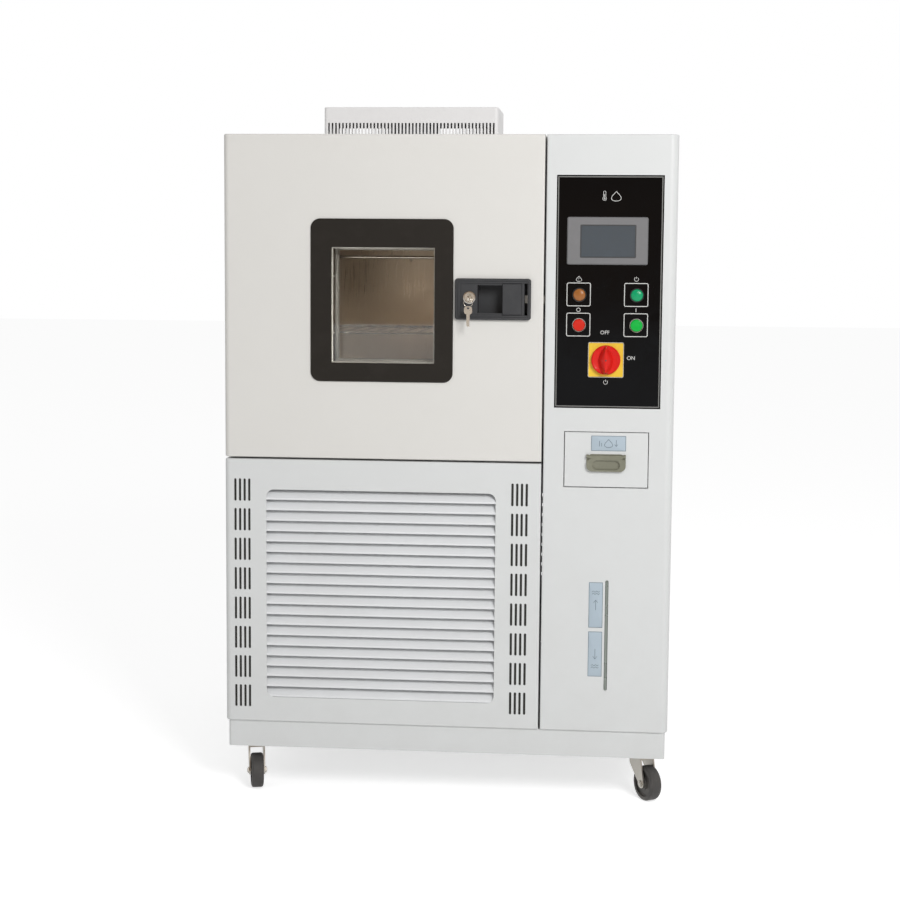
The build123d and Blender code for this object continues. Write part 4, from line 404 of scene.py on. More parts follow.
# Insulation: pale yellow rigid foam with a skin of small cells.
foam, tree = empty_material("rigid_foam")
place = shader(tree, "TexCoord")
cells = shader(tree, "TexVoronoi", Vector=place.outputs["Object"], Scale=600.0)
tone = shader(tree, "Mix", data_type="RGBA", i0=cells.outputs["Distance"], i6=(0.74, 0.66, 0.4, 1), i7=(0.82, 0.76, 0.52, 1))
bump = shader(tree, "Bump", Strength=0.4, Distance=0.0004, Height=cells.outputs["Distance"])
face = shader(tree, "BsdfPrincipled", Base_Color=tone.outputs[2], Roughness=0.85, Normal=bump.outputs[0])
shader(tree, "OutputMaterial", Surface=face.outputs[0])
dress(foam, "insulation")


# Rubber and moulded plastic: a fine grain, with rubbed patches that shine a little more.
grain, start, end = node_group(
    "moulded_grain", [("Scale", 900.0), ("Low", 0.35), ("High", 0.55)],
    [("Roughness", "Float"), ("Height", "Float"), ("Rubbed", "Float")],
)
place = shader(grain, "TexCoord")
pits = shader(grain, "TexVoronoi", Vector=place.outputs["Object"], Scale=start.outputs["Scale"], feature="SMOOTH_F1")
rubs = shader(grain, "TexNoise", Vector=place.outputs["Object"], Scale=9.0, Detail=5.0, Roughness=0.65)
rough = shader(
    grain, "MapRange", Value=rubs.outputs["Fac"], From_Min=0.35, From_Max=0.7,
    To_Min=start.outputs["High"], To_Max=start.outputs["Low"],
)
grain.links.new(rough.outputs[0], end.inputs["Roughness"])
grain.links.new(pits.outputs["Distance"], end.inputs["Height"])
rubbed = shader(grain, "MapRange", Value=rubs.outputs["Fac"], From_Min=0.5, From_Max=0.75)
grain.links.new(rubbed.outputs[0], end.inputs["Rubbed"])


def moulded(
    name, colour, rubbed_colour=None, scale=900.0, low=0.35, high=0.55, depth=0.0001,
    specular=0.5, coat=0.0, metallic=0.0,
):
    """Moulded or textured surface: grain bump, and a second colour where hands rub it."""
    rubbed_colour = rubbed_colour or tuple(min(1.0, 1.15 * c + 0.004) for c in colour)
    material, tree = empty_material(name)
    skin = use_group(tree, grain, Scale=scale, Low=low, High=high)
    tone = shader(tree, "Mix", data_type="RGBA", i0=skin.outputs["Rubbed"], i6=(*colour, 1), i7=(*rubbed_colour, 1))
    bump = shader(tree, "Bump", Strength=0.3, Distance=depth, Height=skin.outputs["Height"])
    face = shader(
        tree, "BsdfPrincipled", Base_Color=tone.outputs[2], Roughness=skin.outputs["Roughness"],
        Normal=bump.outputs[0], Metallic=metallic, Specular_IOR_Level=specular, Coat_Weight=coat, Coat_Roughness=0.08,
    )
    shader(tree, "OutputMaterial", Surface=face.outputs[0])
    return material


# Outlines on the front: loops of points in the plane of the front, u to the right and v up,
# with w towards the user.
def front(points, centre):
    """Turns (u, v, w) into place: x = cx + u, y = cy - w, z = cz + v."""
    u, v, w = np.moveaxis(np.asarray(points, float), -1, 0)
    return np.stack([centre[0] + u, centre[1] - w, centre[2] + v], -1)


def rounded_loop(width, height, radius, per_corner=7):
    """A rectangle's outline whose corners are quarter circles, as points (u, v)."""
    radius = max(min(radius, width / 2, height / 2), 1e-6)
    t = np.linspace(0, pi / 2, per_corner)
    corners = []
    for quarter, (su, sv) in enumerate(((1, 1), (-1, 1), (-1, -1), (1, -1))):
        a = t + quarter * pi / 2
        centre = np.array((su * (width / 2 - radius), sv * (height / 2 - radius)))
        corners.append(centre + radius * np.stack([np.cos(a), np.sin(a)], 1))
    return np.concatenate(corners)


def rim(width, height, radius, section, closed=True):
    """A section of (inset, w) pairs carried round a rounded rectangle. A closed section makes
    a frame, and an open one a plate, whose first and last loops shrink to the middle."""
    loops = [
        np.column_stack([rounded_loop(width - 2 * i, height - 2 * i, radius - i), np.full(28, w)])
        for i, w in section
    ]
    if not closed:
        loops = [loops[0] * (0, 0, 1), *loops, loops[-1] * (0, 0, 1)]
    points = np.stack(loops)
    return points, grid_faces(len(loops), 28, wrap_rows=closed)


def stroke(path, width, thick, closed=False):
    """A drawn line as a thin ribbon: each side lies half the width from the path along its
    normal, which is the tangent turned by a right angle."""
    path = np.asarray(path, float)
    ends = np.concatenate([path[-1:], path, path[:1]]) if closed else path
    tangent = np.gradient(ends, axis=0)[1:-1] if closed else np.gradient(path, axis=0)
    tangent /= np.linalg.norm(tangent, axis=1)[:, None]
    normal = np.stack([-tangent[:, 1], tangent[:, 0]], 1) * width / 2
    rows = [(path - normal, 0), (path - normal, thick), (path + normal, thick), (path + normal, 0)]
    points = np.stack([np.column_stack([p, np.full(len(p), w)]) for p, w in rows])
    faces = grid_faces(4, len(path), wrap_rows=True, wrap_columns=closed).tolist()
    if not closed:
        n = len(path)
        faces += [[0, n, 2 * n, 3 * n], [n - 1, 2 * n - 1, 3 * n - 1, 4 * n - 1]]
    return points, faces


def placed(parts, centre, shift=(0, 0)):
    """Parts drawn in (u, v, w) moved to their centre on the front, after a shift in u and v."""
    return [(front(points + np.array((*shift, 0)), centre), faces) for points, faces in parts]


# Door: a folded steel shell with a rubber gasket, a deep window with a broad black frame,
# and two heat-strengthened panes held apart by aluminium spacer frames.
window_black = moulded("window_black", (0.019, 0.016, 0.013), scale=700.0, low=0.4, high=0.55, depth=0.00006, specular=0.15)
dress(window_black, "window_frame")
dress(moulded("gasket_rubber", (0.03, 0.03, 0.03), scale=500.0, low=0.5, high=0.7), "door_gasket")
pane_glass, tree = empty_material("pane_glass")
place = shader(tree, "TexCoord")
film = shader(tree, "TexNoise", Vector=place.outputs["Object"], Scale=6.0, Detail=6.0, Roughness=0.7)
haze = shader(tree, "MapRange", Value=film.outputs["Fac"], From_Min=0.45, From_Max=0.8, To_Min=0.0, To_Max=0.05)
clear = shader(
    tree, "BsdfPrincipled", Base_Color=(0.95, 0.93, 0.9, 1), Roughness=haze.outputs[0], IOR=1.45, Transmission_Weight=1.0
)
through = shader(tree, "BsdfTransparent", Color=(0.87, 0.86, 0.83, 1))
shadow = shader(tree, "LightPath")
cast = shader(tree, "MixShader", i0=shadow.outputs["Is Shadow Ray"], i1=clear.outputs[0], i2=through.outputs[0])
shader(tree, "OutputMaterial", Surface=cast.outputs[0])
dress(pane_glass, "window_panes")
low, high = (np.array(v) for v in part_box("window_panes"))
middle, pane_size = (low + high) / 2, high - low
spacer_metal = metal("spacer_metal", (0.5, 0.51, 0.49), stretch=(300.0, 300.0, 300.0), low=0.3, high=0.5)
bar = [(0, 0), (0, 0.013), (0.0006, 0.0136), (0.0065, 0.0136), (0.007, 0.013), (0.007, 0)]
spacers = placed([rim(pane_size[0], pane_size[2], 0.002, bar)], (middle[0], high[1] - 0.0055, middle[2]))
spacers += placed(
    [rim(pane_size[0], pane_size[2], 0.002, [(i * 0.6, w * 0.5) for i, w in bar])],
    (middle[0], low[1] + 0.0125, middle[2]),
)
piece("window_spacers", spacers, spacer_metal, "door")
jamb = [screw_head((low[0], (low[1] + high[1]) / 2, middle[2] + dz), (1, 0, 0), 0.0026) for dz in (0.06, -0.06)]
jamb += [screw_head((high[0], (low[1] + high[1]) / 2, middle[2] + dz), (-1, 0, 0), 0.0026) for dz in (0.06, -0.06)]
piece("window_screws", jamb, screw_metal, "door")

# Hinges: plated steel leaves, each fixed with two low pan head screws.
dress(
    metal("hinge_plate", (0.55, 0.54, 0.5), stretch=(200.0, 200.0, 40.0), low=0.28, high=0.45),
    "hinge_body_leaves", "hinge_door_leaves",
)
for node, body, share in (("hinge_body_leaves", "cabinet", 0.62), ("hinge_door_leaves", "door", 0.38)):
    low, high = (np.array(v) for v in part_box(node))
    at_y = low[1] + share * (high[1] - low[1])
    face = high[0] - 0.0025
    screws = [
        screw_head((face, at_y, z + dz), (-1, 0, 0), 0.0028)
        for z in (low[2] + 0.035, high[2] - 0.035)
        for dz in (-0.022, 0.022)
    ]
    piece(node + "_screws", screws, screw_metal, body)

# Latch and lock: a die-cast frame and paddle in dark grey satin paint, a plated lock
# with a chromed collar, and two stamped keys on a split ring.
latch_paint = moulded(
    "latch_paint", (0.04, 0.041, 0.044), (0.058, 0.059, 0.062), scale=1300.0,
    low=0.42, high=0.55, depth=0.00012, specular=0.3,
)
dress(latch_paint, "latch_frame", "latch_paddle")
dress(metal("bolt_zinc", (0.55, 0.55, 0.52), low=0.3, high=0.5), "latch_bolt")
key_metal = metal("key_metal", (0.66, 0.62, 0.55), (0.4, 0.33, 0.25), stretch=(200.0, 200.0, 900.0), low=0.14, high=0.3)
dress(key_metal, "door_key")
low, high = (np.array(v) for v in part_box("door_key"))
lock_x = (low[0] + high[0]) / 2
lock_z = (low[2] + high[2]) / 2
land_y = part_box("latch_paddle")[0][1] + 0.0015
collar = [(0.0107, -0.0004), (0.0107, 0.0014), (0.0112, 0.002), (0.0128, 0.0019), (0.0136, 0.001), (0.0138, -0.0004)]
piece(
    "lock_collar", [turned(collar + collar[:1], (lock_x, land_y, lock_z), (0, -1, 0), 48)],
    metal("collar_chrome", (0.62, 0.6, 0.57), low=0.1, high=0.2), "door",
)

low, high = (np.array(v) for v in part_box("latch_frame"))
groove_at = ((low[0] + high[0]) / 2, land_y, (low[2] + high[2]) / 2)
line = [(0.0051, -0.0012), (0.0051, 0.00005), (0.0064, 0.00005), (0.0064, -0.0012)]
groove = placed([rim(high[0] - low[0], high[2] - low[2], 0.004, line)], groove_at)
piece("latch_shadow_line", groove, moulded("line_black", (0.01, 0.01, 0.011), low=0.6, high=0.8), "door")

low, high = (np.array(v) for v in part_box("spare_key"))
ring_y, ring_top = (low[1] + high[1]) / 2, high[2]
t = np.linspace(0, 2 * pi, 49)
ring_radius, wire = 0.009, 0.00085
turns = []
for lift in (-0.0004, 0.0004):
    c = np.linspace(0, 2 * pi, 10, endpoint=False)
    spread = ring_radius + wire * 0.55 * np.cos(c)[None]
    x = lock_x + spread * np.cos(t)[:, None]
    z = ring_top - ring_radius - wire + spread * np.sin(t)[:, None]
    y = ring_y + lift + wire * 0.5 * np.sin(c)[None] + 0 * t[:, None]
    turns.append((np.stack([x, y, z], -1), grid_faces(49, 10)))
bow_z = ring_top - 2 * ring_radius - 0.0075
a = np.linspace(0, 2 * pi, 40, endpoint=False)
outer = 0.0085 * (abs(np.cos(a)) ** 3.2 + abs(np.sin(a)) ** 3.2) ** (-1 / 3.2)
head = np.stack([[outer * np.cos(a), outer * np.sin(a)], [0.0026 * np.cos(a), 0.0045 + 0.0022 * np.sin(a)]])
loops = [(head[0], -0.0009), (head[0] * 0.97, 0.0009), (head[1], 0.0009), (head[1], -0.0009)]
points = np.stack([np.stack([lock_x + p[0], ring_y + w + 0 * a, bow_z + p[1]], -1) for p, w in loops])
turns.append((points, grid_faces(4, 40, wrap_rows=True)))
along = np.linspace(0, 1, 25)
teeth = 0.0009 * (np.array([0, 0, 1, 0.3, 1.4, 0.5, 0.5, 1.6, 0.8, 0.2, 1.1, 1.1, 0.4] + [0] * 12)[::-1])
left, right = -0.0034 + 0.0012 * (along > 0.93), 0.0034 - teeth
z = bow_z - 0.0075 - along * 0.026
blade = [(left, -0.0008), (left, 0.0008), (right, 0.0008), (right, -0.0008)]
points = np.stack([np.stack([lock_x + x, ring_y + w + 0 * z, z], -1) for x, w in blade])
caps = [[0, 25, 50, 75], [24, 49, 74, 99]]
turns.append((points, grid_faces(4, 25, wrap_rows=True, wrap_columns=False).tolist() + caps))
keys = piece("spare_key_and_ring", turns, key_metal, "spare_key")
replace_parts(keys, "spare_key")

# Control panel: glossy black sheet printed in white, with a thin frame line, boxes round
# the fittings and plain symbols in place of words.
gloss_black, tree = empty_material("gloss_black")
place = shader(tree, "TexCoord")
smear = shader(tree, "TexNoise", Vector=place.outputs["Object"], Scale=11.0, Detail=6.0, Roughness=0.7, Distortion=1.2)
rough = shader(tree, "MapRange", Value=smear.outputs["Fac"], From_Min=0.4, From_Max=0.75, To_Min=0.05, To_Max=0.2)
wave = shader(tree, "TexNoise", Vector=place.outputs["Object"], Scale=5.0, Detail=2.0)
bump = shader(tree, "Bump", Strength=0.3, Distance=0.0016, Height=wave.outputs["Fac"])
face = shader(
    tree, "BsdfPrincipled", Base_Color=(0.0025, 0.0025, 0.003, 1), Roughness=rough.outputs[0],
    Normal=bump.outputs[0], Specular_IOR_Level=0.12,
)
shader(tree, "OutputMaterial", Surface=face.outputs[0])
dress(gloss_black, "control_panel")
low, high = (np.array(v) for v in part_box("control_panel"))
print_y = low[1] + 0.0035
panel_middle = ((low[0] + high[0]) / 2, print_y, (low[2] + high[2]) / 2)
panel_size = np.array((high[0] - low[0], high[2] - low[2])) - 0.018
print_white = moulded("print_white", (0.62, 0.62, 0.6), scale=2500.0, low=0.4, high=0.5, depth=0.00002)
flat_line = [(0, 0), (0, 0.00012), (0.0016, 0.00012), (0.0016, 0)]
print_grey = moulded("print_grey", (0.19, 0.19, 0.18), scale=2500.0, low=0.4, high=0.5, depth=0.00002)
border = placed([rim(panel_size[0] - 0.005, panel_size[1] - 0.005, 0.001, [(i * 1.3, w) for i, w in flat_line])], panel_middle)
piece("panel_border", border, print_grey, "cabinet", smooth=60)
prints = []
spots = []
for node in ("alarm_lamp", "power_lamp", "stop_button", "start_button"):
    low, high = (np.array(v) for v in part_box(node))
    spots.append(((low[0] + high[0]) / 2, print_y, (low[2] + high[2]) / 2))
for spot in spots:
    prints += placed([rim(0.05, 0.049, 0.004, flat_line)], spot, (-0.0015, 0.0008))


def drop(size):
    """A water drop's outline: u = sin t * sin(t / 2) ** 1.5, v = cos t, pointed at the top."""
    t = np.linspace(0.02, 2 * pi - 0.02, 40)
    return size * np.stack([0.55 * np.sin(t) * np.sin(t / 2) ** 1.5 * 1.3, np.cos(t) * 0.5], 1)


def arc(radius, begin, finish, count=32):
    """Part of a circle between two angles in degrees, measured from the right."""
    t = np.radians(np.linspace(begin, finish, count))
    return radius * np.stack([np.cos(t), np.sin(t)], 1)


def bar_between(a, b):
    """A straight line of five points."""
    return np.linspace(a, b, 5)


ink = 0.00012
power_sign = [stroke(arc(0.0042, 125, 415), 0.001, ink), stroke(bar_between((0, 0.0012), (0, 0.0055)), 0.001, ink)]
alarm_sign = [stroke(drop(0.011), 0.0009, ink, True), stroke(bar_between((0, -0.0005), (0, 0.0022)), 0.0009, ink),
              stroke(arc(0.0003, 0, 330, 8) + (0, -0.0024), 0.0006, ink, True)]
off_sign = [stroke(arc(0.0038, 0, 350), 0.0011, ink, True)]
on_sign = [stroke(bar_between((0, -0.004), (0, 0.004)), 0.0012, ink)]
for sign, spot, rise in (
    (alarm_sign, spots[0], 0.0332), (power_sign, spots[1], 0.0332),
    (off_sign, spots[2], 0.0315), (on_sign, spots[3], 0.0315),
):
    prints += placed(sign, spot, (-0.0015, rise))
heat_sign = [stroke(np.concatenate([arc(0.0024, 0, 180, 12) + (0, 0.008), arc(0.0038, 130, 410, 24) + (0, -0.005)]), 0.0009, ink, True),
             stroke(bar_between((0, -0.005), (0, 0.004)), 0.0012, ink), stroke(arc(0.0012, 0, 345, 14) + (0, -0.005), 0.0012, ink, True)]
title = (panel_middle[0], print_y, panel_middle[2] + panel_size[1] / 2 - 0.043)
prints += placed(heat_sign, title, (-0.012, 0)) + placed([stroke(drop(0.02), 0.0011, ink, True)], title, (0.012, 0))
low, high = (np.array(v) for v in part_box("switch_plate"))
switch = ((low[0] + high[0]) / 2, print_y, (low[2] + high[2]) / 2)
prints += placed(power_sign, switch, (0, -0.0465))
piece("panel_print", prints, print_white, "cabinet", smooth=60)
for word, at, size in (("OFF", (switch[0] - 0.003, switch[2] + 0.0565), 0.011), ("ON", (switch[0] + 0.052, switch[2] + 0.004), 0.011)):
    text = bpy.data.curves.new("word_" + word.lower(), "FONT")
    text.body, text.size, text.extrude = word, size, 0.00006
    text.align_x, text.align_y = "CENTER", "CENTER"
    drawn = bpy.data.objects.new("flat_" + word.lower(), text)
    bpy.context.scene.collection.objects.link(drawn)
    bpy.context.view_layer.update()
    data = bpy.data.meshes.new_from_object(drawn)
    bpy.data.objects.remove(drawn)
    data.transform(Matrix.Translation((at[0], print_y - 0.00006, at[1])) @ Matrix.Rotation(pi / 2, 4, "X"))
    data.materials.clear()
    data.materials.append(print_white)
    made = bpy.data.objects.new("mark_" + word.lower(), data)
    bpy.context.scene.collection.objects.link(made)
    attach(made, "cabinet")

# Touch screen: a moulded grey bezel with the glass set into it, left of centre.
dress(moulded("bezel_grey", (0.17, 0.168, 0.172), scale=1500.0, low=0.35, high=0.5, depth=0.00006), "touch_screen")
screen_glass, tree = empty_material("screen_glass")
place = shader(tree, "TexCoord")
touch = shader(tree, "TexNoise", Vector=place.outputs["Object"], Scale=38.0, Detail=5.0, Roughness=0.7)
rough = shader(tree, "MapRange", Value=touch.outputs["Fac"], From_Min=0.45, From_Max=0.7, To_Min=0.08, To_Max=0.28)
dots = shader(tree, "TexVoronoi", Vector=place.outputs["Object"], Scale=3000.0)
tone = shader(tree, "Mix", data_type="RGBA", i0=dots.outputs["Distance"], i6=(0.052, 0.068, 0.083, 1), i7=(0.07, 0.088, 0.106, 1))
face = shader(tree, "BsdfPrincipled", Base_Color=tone.outputs[2], Roughness=rough.outputs[0], Coat_Weight=0.3, Coat_Roughness=0.1)
shader(tree, "OutputMaterial", Surface=face.outputs[0])
low, high = (np.array(v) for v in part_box("touch_screen"))
glass_at = (low[0] + 0.08475, low[1] + 0.001, high[2] - 0.04975)
pane = rim(0.1129, 0.0659, 0.0008, [(0, 0), (0, 0.0004), (0.0004, 0.0007)], closed=False)
piece("screen_pane", placed([pane], glass_at), screen_glass, "cabinet")
edge = [(-0.0012, 0.0001), (-0.0012, 0.0012), (0.0012, 0.0012), (0.0014, 0.0008), (0.0008, 0.0001)]
piece("screen_edge", placed([rim(0.1129, 0.0659, 0.001, edge)], glass_at),
      moulded("screen_edge_plastic", (0.035, 0.037, 0.04), scale=1500.0), "cabinet")

# Lamps and push buttons: 25 mm moulded caps, domed on the lamps and flat with a rounded rim
# on the buttons, in screwed rings with a barrel behind the panel. The lamp rings are dark
# plastic and the button rings are bright metal.
barrel = [(0.0108, -0.048), (0.0108, 0), (0.0148, 0.0001), (0.015, 0.0012), (0.0146, 0.0032), (0.0139, 0.0039),
          (0.0131, 0.0038), (0.0127, 0.003), (0.0127, 0.0006), (0.0102, 0.0005), (0.0102, -0.048)]
u = np.linspace(0, 1, 9)
dome = [(0.0125 * np.cos(a), 0.0048 + 0.0042 * np.sin(a)) for a in u * pi / 2]
flat = [(0.0125, 0.0062), (0.0124, 0.0074), (0.0118, 0.0082), (0.0108, 0.0085), (0.006, 0.0079), (0, 0.0077)]
foot = [(0, -0.02), (0.0098, -0.02), (0.0098, 0.0037), (0.0125, 0.0037)]
ring_metal = metal("ring_metal", (0.62, 0.61, 0.58), stretch=(700.0, 60.0, 700.0), low=0.16, high=0.32)
ring_plastic = moulded("ring_plastic", (0.02, 0.02, 0.021), scale=900.0, low=0.3, high=0.45)
for node, colour, cap, body in (
    ("alarm_lamp", (0.34, 0.125, 0.03), dome, "cabinet"), ("power_lamp", (0.004, 0.33, 0.13), dome, "cabinet"),
    ("stop_button", (0.62, 0.022, 0.01), flat, "stop_button"), ("start_button", (0.004, 0.42, 0.05), flat, "start_button"),
):
    low, high = (np.array(v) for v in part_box(node))
    at = ((low[0] + high[0]) / 2, print_y, (low[2] + high[2]) / 2)
    lit = tuple(min(1, 1.3 * c + 0.005) for c in colour)
    plastic = moulded(node + "_plastic", colour, lit, scale=420.0, low=0.12, high=0.26, depth=0.00006, specular=0.3)
    made = piece(node + "_cap", [turned(foot + cap, at, (0, -1, 0), 48)], plastic, body)
    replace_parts(made, node)
rings = [[turned(barrel + barrel[:1], spot, (0, -1, 0), 48) for spot in pair] for pair in (spots[:2], spots[2:])]
piece("lamp_rings", rings[0], ring_plastic, "cabinet")
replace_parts(piece("button_rings", rings[1], ring_metal, "cabinet"), "button_bezels")

# Main switch: a yellow plate in a thin metal tray, and a red knob whose grip is a leaf
# with a crest, pointed at the top and the tail.
dress(moulded("plate_yellow", (0.78, 0.52, 0.03), scale=1100.0, low=0.3, high=0.42, depth=0.00005), "switch_plate")
tray = [(-0.0012, 0), (-0.0012, 0.0029), (-0.0009, 0.0032), (0.0001, 0.0032), (0.0004, 0.0028), (0.0004, 0)]
tray_metal = metal("tray_metal", (0.6, 0.59, 0.57), low=0.2, high=0.36)
piece("switch_plate_tray", placed([rim(0.072, 0.071, 0.0025, tray)], switch), tray_metal, "cabinet")
low, high = (np.array(v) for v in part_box("switch_knob"))
knob_at = ((low[0] + high[0]) / 2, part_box("switch_plate")[0][1] - 0.0005, (low[2] + high[2]) / 2)
reach = (high[0] - low[0]) / 2
v = reach * np.sin(np.linspace(-pi / 2, pi / 2, 61))
chord = np.sqrt(np.maximum(reach**2 - v**2, 0))
edge = np.clip((reach - abs(v)) / 0.0022, 0, 1)
disc = 0.0098 * np.sqrt(1 - (1 - edge) ** 2)
half = np.interp(v / reach, (-1, -0.9, -0.5, 0, 0.5, 0.85, 1), (0.002, 0.005, 0.012, 0.0155, 0.011, 0.003, 0.001))
half = np.minimum(half, 0.7 * chord)
along = np.clip((0.95 * reach - abs(v)) / 0.004, 0, 1)
crest = disc + 0.0166 * along**0.5
dish = disc - 0.0012 * np.clip((chord - half) / 0.01, 0, 1) * edge
rise = crest - dish
side = [
    (chord, 0 * v), (chord * 0.985, disc * 0.85), (np.maximum(chord - 0.0022, half), disc),
    (np.maximum(chord - 0.004, half), dish), (np.minimum(half + 0.0006, chord), dish),
    (half * 0.97, dish + 0.22 * rise), (half * 0.6, dish + 0.6 * rise), (half * 0.28, dish + 0.92 * rise),
    (np.minimum(half * 0.14, 0.0016), crest),
]
section = [(-u, h) for u, h in side] + [(u, h) for u, h in side[::-1]]
points = np.stack([front(np.stack([u, v, h], -1), knob_at) for u, h in section])
knob_red = moulded(
    "knob_red", (0.66, 0.012, 0.008), (0.72, 0.022, 0.014), scale=900.0,
    low=0.26, high=0.4, depth=0.00006, specular=0.25,
)
knob = piece("switch_handle", [(points, grid_faces(len(section), 61, wrap_rows=True, wrap_columns=False))],
             knob_red, "main_switch", smooth=40)
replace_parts(knob, "switch_knob")
dark_plastic = moulded("dark_plastic", (0.028, 0.028, 0.03), scale=900.0, low=0.35, high=0.55)
top = knob_at[1] - 0.0263
pin = [(0, -0.001), (0.0017, -0.001), (0.0017, 0.0003), (0.0012, 0.0007), (0, 0.0008)]
piece("switch_handle_pin", [turned(pin, (knob_at[0], top, knob_at[2]), (0, -1, 0), 24)], dark_plastic, "main_switch")
tick = [stroke(bar_between((0, 0.0272), (0, 0.0288)), 0.004, 0.0004)]
piece("switch_handle_mark", placed(tick, (knob_at[0], knob_at[1] - 0.0088, knob_at[2])), print_white, "main_switch")

# Water drawer: a cast olive pull with a drop bail, and a printed pale blue label with a
# darker line round it. The two level labels beside the sight tube are made the same way.
olive = moulded("olive_cast", (0.2, 0.2, 0.15), (0.26, 0.26, 0.2), scale=800.0, low=0.3, high=0.45, metallic=0.35)
dress(olive, "pull_mount", "pull_bail")
label_blue = moulded("label_blue", (0.42, 0.5, 0.565), (0.44, 0.52, 0.58), scale=1800.0, low=0.35, high=0.5, depth=0.00002)
label_ink = moulded("label_ink", (0.16, 0.2, 0.235), scale=1800.0, low=0.4, high=0.55, depth=0.00002)
front_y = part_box("water_drawer")[0][1]
plate = [(0, 0), (0, 0.0003), (0.0002, 0.0004)]
line = [(0.0002, 0.0003), (0.0002, 0.00052), (0.0012, 0.00052), (0.0012, 0.0003)]
fill_sign = [stroke(drop(0.017), 0.0012, 0.0002, True)]
fill_sign += [stroke(np.array(p), 0.0012, 0.0002) for p in (
    [(0.016, 0.007), (0.016, 0.003), (0.016, -0.001), (0.016, -0.005)], [(0.0125, -0.002), (0.016, -0.0062), (0.0195, -0.002)],
    [(-0.019, -0.0065), (-0.019, -0.0005), (-0.019, 0.005)], [(-0.0145, -0.0065), (-0.0145, -0.003), (-0.0145, 0.001)],
)]


def level_sign(rise):
    """An arrow on a stroke, pointing at two waves of the water line above or below it."""
    u = np.linspace(-0.008, 0.008, 21)
    waves = [stroke(np.stack([u, rise * s + 0.0012 * np.sin(u * 900)], 1), 0.0011, 0.0002) for s in (1.0, 1.2)]
    tip = 0.45 * rise
    head = np.array([(-0.0045, tip - np.sign(rise) * 0.006), (0, tip), (0.0045, tip - np.sign(rise) * 0.006)])
    return waves + [stroke(head, 0.0011, 0.0002), stroke(bar_between((0, -tip), (0, tip)), 0.0011, 0.0002)]


for name, body, x, z, width, height, sign in (
    ("drawer_label", "drawer", 0.3467, 0.7757, 0.0728, 0.0322, fill_sign),
    ("high_level_label", "cabinet", 0.3252, 0.4327, 0.0296, 0.0971, level_sign(0.024)),
    ("low_level_label", "cabinet", 0.3252, 0.3275, 0.0296, 0.0967, level_sign(-0.024)),
):
    at = (x, front_y, z)
    piece(name, placed([rim(width, height, 0.0008, plate, closed=False)], at), label_blue, body)
    drawn = [rim(width, height, 0.0008, line)] + [(p + np.array((0, 0, 0.00036)), f) for p, f in sign]
    piece(name + "_print", placed(drawn, at), label_ink, body, smooth=60)

# Water side: a blow-moulded tank that shows milky, a clear sight tube and a red float.
def milky(name, colour, share, low=0.2, high=0.4):
    """Translucent plastic: part of the light goes through, with wall thickness clouds."""
    material, tree = empty_material(name)
    skin = use_group(tree, grain, Scale=300.0, Low=low, High=high)
    deep = tuple(0.85 * c for c in colour)
    tone = shader(tree, "Mix", data_type="RGBA", i0=skin.outputs["Rubbed"], i6=(*colour, 1), i7=(*deep, 1))
    bump = shader(tree, "Bump", Strength=0.2, Distance=0.0002, Height=skin.outputs["Height"])
    face = shader(
        tree, "BsdfPrincipled", Base_Color=tone.outputs[2], Roughness=skin.outputs["Roughness"],
        Normal=bump.outputs[0], Transmission_Weight=share, IOR=1.4,
    )
    shader(tree, "OutputMaterial", Surface=face.outputs[0])
    return material


dress(milky("tank_plastic", (0.72, 0.74, 0.7), 0.25), "water_tank")
dress(milky("tube_plastic", (0.38, 0.42, 0.38), 0.35), "sight_tube")
dress(moulded("float_red", (0.6, 0.05, 0.03), scale=600.0, low=0.3, high=0.45), "level_float")

# Refrigeration and air side: a painted compressor, finned coils with bright edges, a black
# fan, and a galvanised blower wheel with its grey motor on the roof.
finned, tree = empty_material("coil_fins")
place = shader(tree, "TexCoord")
fins = shader(tree, "TexWave", Vector=place.outputs["Object"], Scale=160.0, bands_direction="X", wave_profile="SIN")
dirt = shader(tree, "TexNoise", Vector=place.outputs["Object"], Scale=14.0, Detail=5.0, Roughness=0.65)
tone = shader(tree, "Mix", data_type="RGBA", i0=dirt.outputs["Fac"], i6=(0.6, 0.6, 0.58, 1), i7=(0.26, 0.25, 0.23, 1))
bump = shader(tree, "Bump", Strength=0.8, Distance=0.001, Height=fins.outputs["Fac"])
rough = shader(tree, "MapRange", Value=dirt.outputs["Fac"], To_Min=0.3, To_Max=0.55)
face = shader(tree, "BsdfPrincipled", Base_Color=tone.outputs[2], Metallic=0.9, Roughness=rough.outputs[0], Normal=bump.outputs[0])
shader(tree, "OutputMaterial", Surface=face.outputs[0])
dress(finned, "condenser", "evaporator")
dress(
    painted(
        "compressor_black", (0.02, 0.02, 0.022), (0.2, 0.17, 0.13), low=0.2, high=0.4,
        dust=0.5, peel_depth=0.0001,
    ),
    "compressor",
)
dress(dark_plastic, "condenser_fan")
dress(painted("motor_grey", (0.2, 0.215, 0.225), low=0.3, high=0.45, dust=0.3), "circulation_motor")


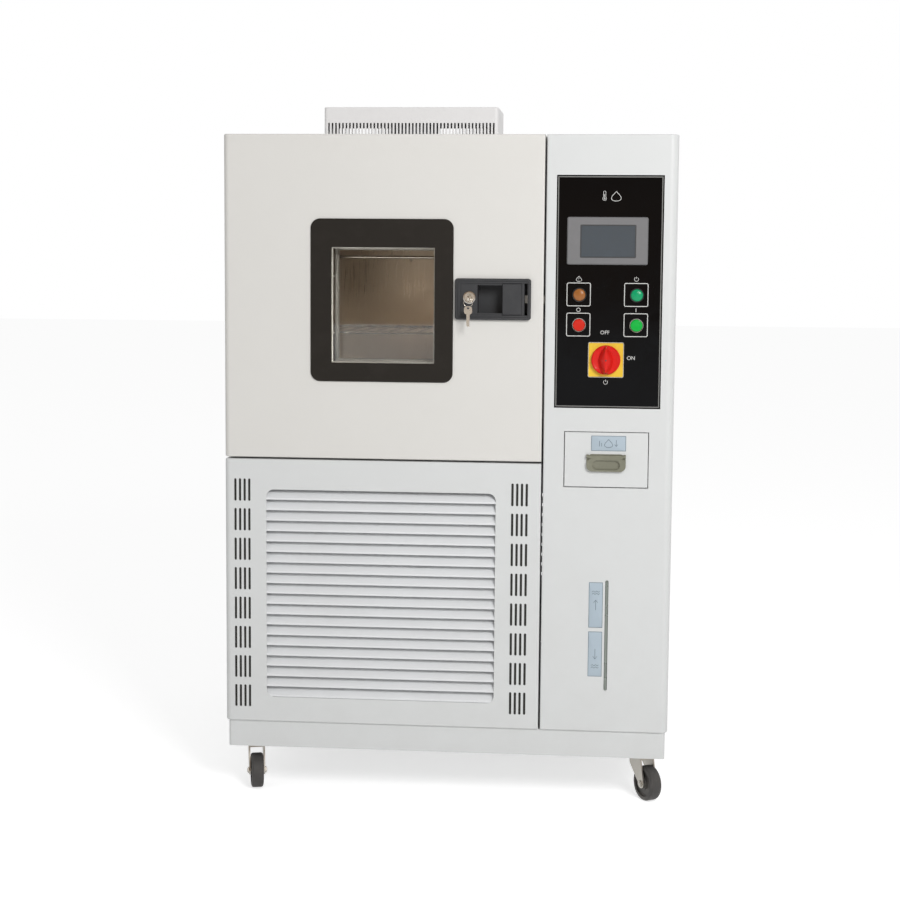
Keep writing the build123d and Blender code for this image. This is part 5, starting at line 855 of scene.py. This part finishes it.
def spangled(name, base, front_colour=None, split=0.0):
    """Hot-dip galvanised sheet: zinc crystals that differ in tone and gloss. Where a split
    is given, whatever lies in front of that y is plain plastic in another colour."""
    material, tree = empty_material(name)
    place = shader(tree, "TexCoord")
    crystals = shader(tree, "TexVoronoi", Vector=place.outputs["Object"], Scale=90.0)
    flake = shader(tree, "SeparateColor", Color=crystals.outputs["Color"])
    light, dark = tuple(1.12 * c for c in base), tuple(0.75 * c for c in base)
    zinc = shader(tree, "Mix", data_type="RGBA", i0=flake.outputs["Red"], i6=(*dark, 1), i7=(*light, 1))
    rough = shader(tree, "MapRange", Value=flake.outputs["Green"], To_Min=0.28, To_Max=0.5)
    where = shader(tree, "SeparateXYZ", Vector=place.outputs["Object"])
    back = shader(tree, "MapRange", Value=where.outputs["Y"], From_Min=split - 0.0002, From_Max=split + 0.0002)
    share = back.outputs[0] if front_colour else 1.0
    tone = shader(tree, "Mix", data_type="RGBA", i0=share, i6=(*(front_colour or base), 1), i7=zinc.outputs[2])
    bump = shader(tree, "Bump", Strength=0.15, Distance=0.00005, Height=flake.outputs["Blue"])
    face = shader(
        tree, "BsdfPrincipled", Base_Color=tone.outputs[2], Metallic=share, Roughness=rough.outputs[0], Normal=bump.outputs[0]
    )
    shader(tree, "OutputMaterial", Surface=face.outputs[0])
    return material


dress(spangled("galvanised", (0.5, 0.51, 0.51)), "blower_wheel")
plate_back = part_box("electrical_plate")[1][1]
dress(spangled("mounting_plate", (0.5, 0.51, 0.51), (0.1, 0.105, 0.11), plate_back - 0.0022), "electrical_plate")
dress(moulded("fitting_plastic", (0.045, 0.045, 0.047), scale=700.0), "rear_fittings")

# Casters: pressed and plated swivel forks with dark polyurethane wheels on grey centres.
caster_zinc = metal("caster_zinc", (0.5, 0.48, 0.44), (0.3, 0.27, 0.22), stretch=(160.0, 160.0, 160.0), low=0.28, high=0.5)
for number in (1, 2, 3, 4):
    dress(caster_zinc, f"caster_fork_{number}")
    dress(moulded(f"caster_tyre_{number}", (0.05, 0.047, 0.045), (0.12, 0.11, 0.1), scale=300.0, low=0.45, high=0.7), f"caster_wheel_{number}")
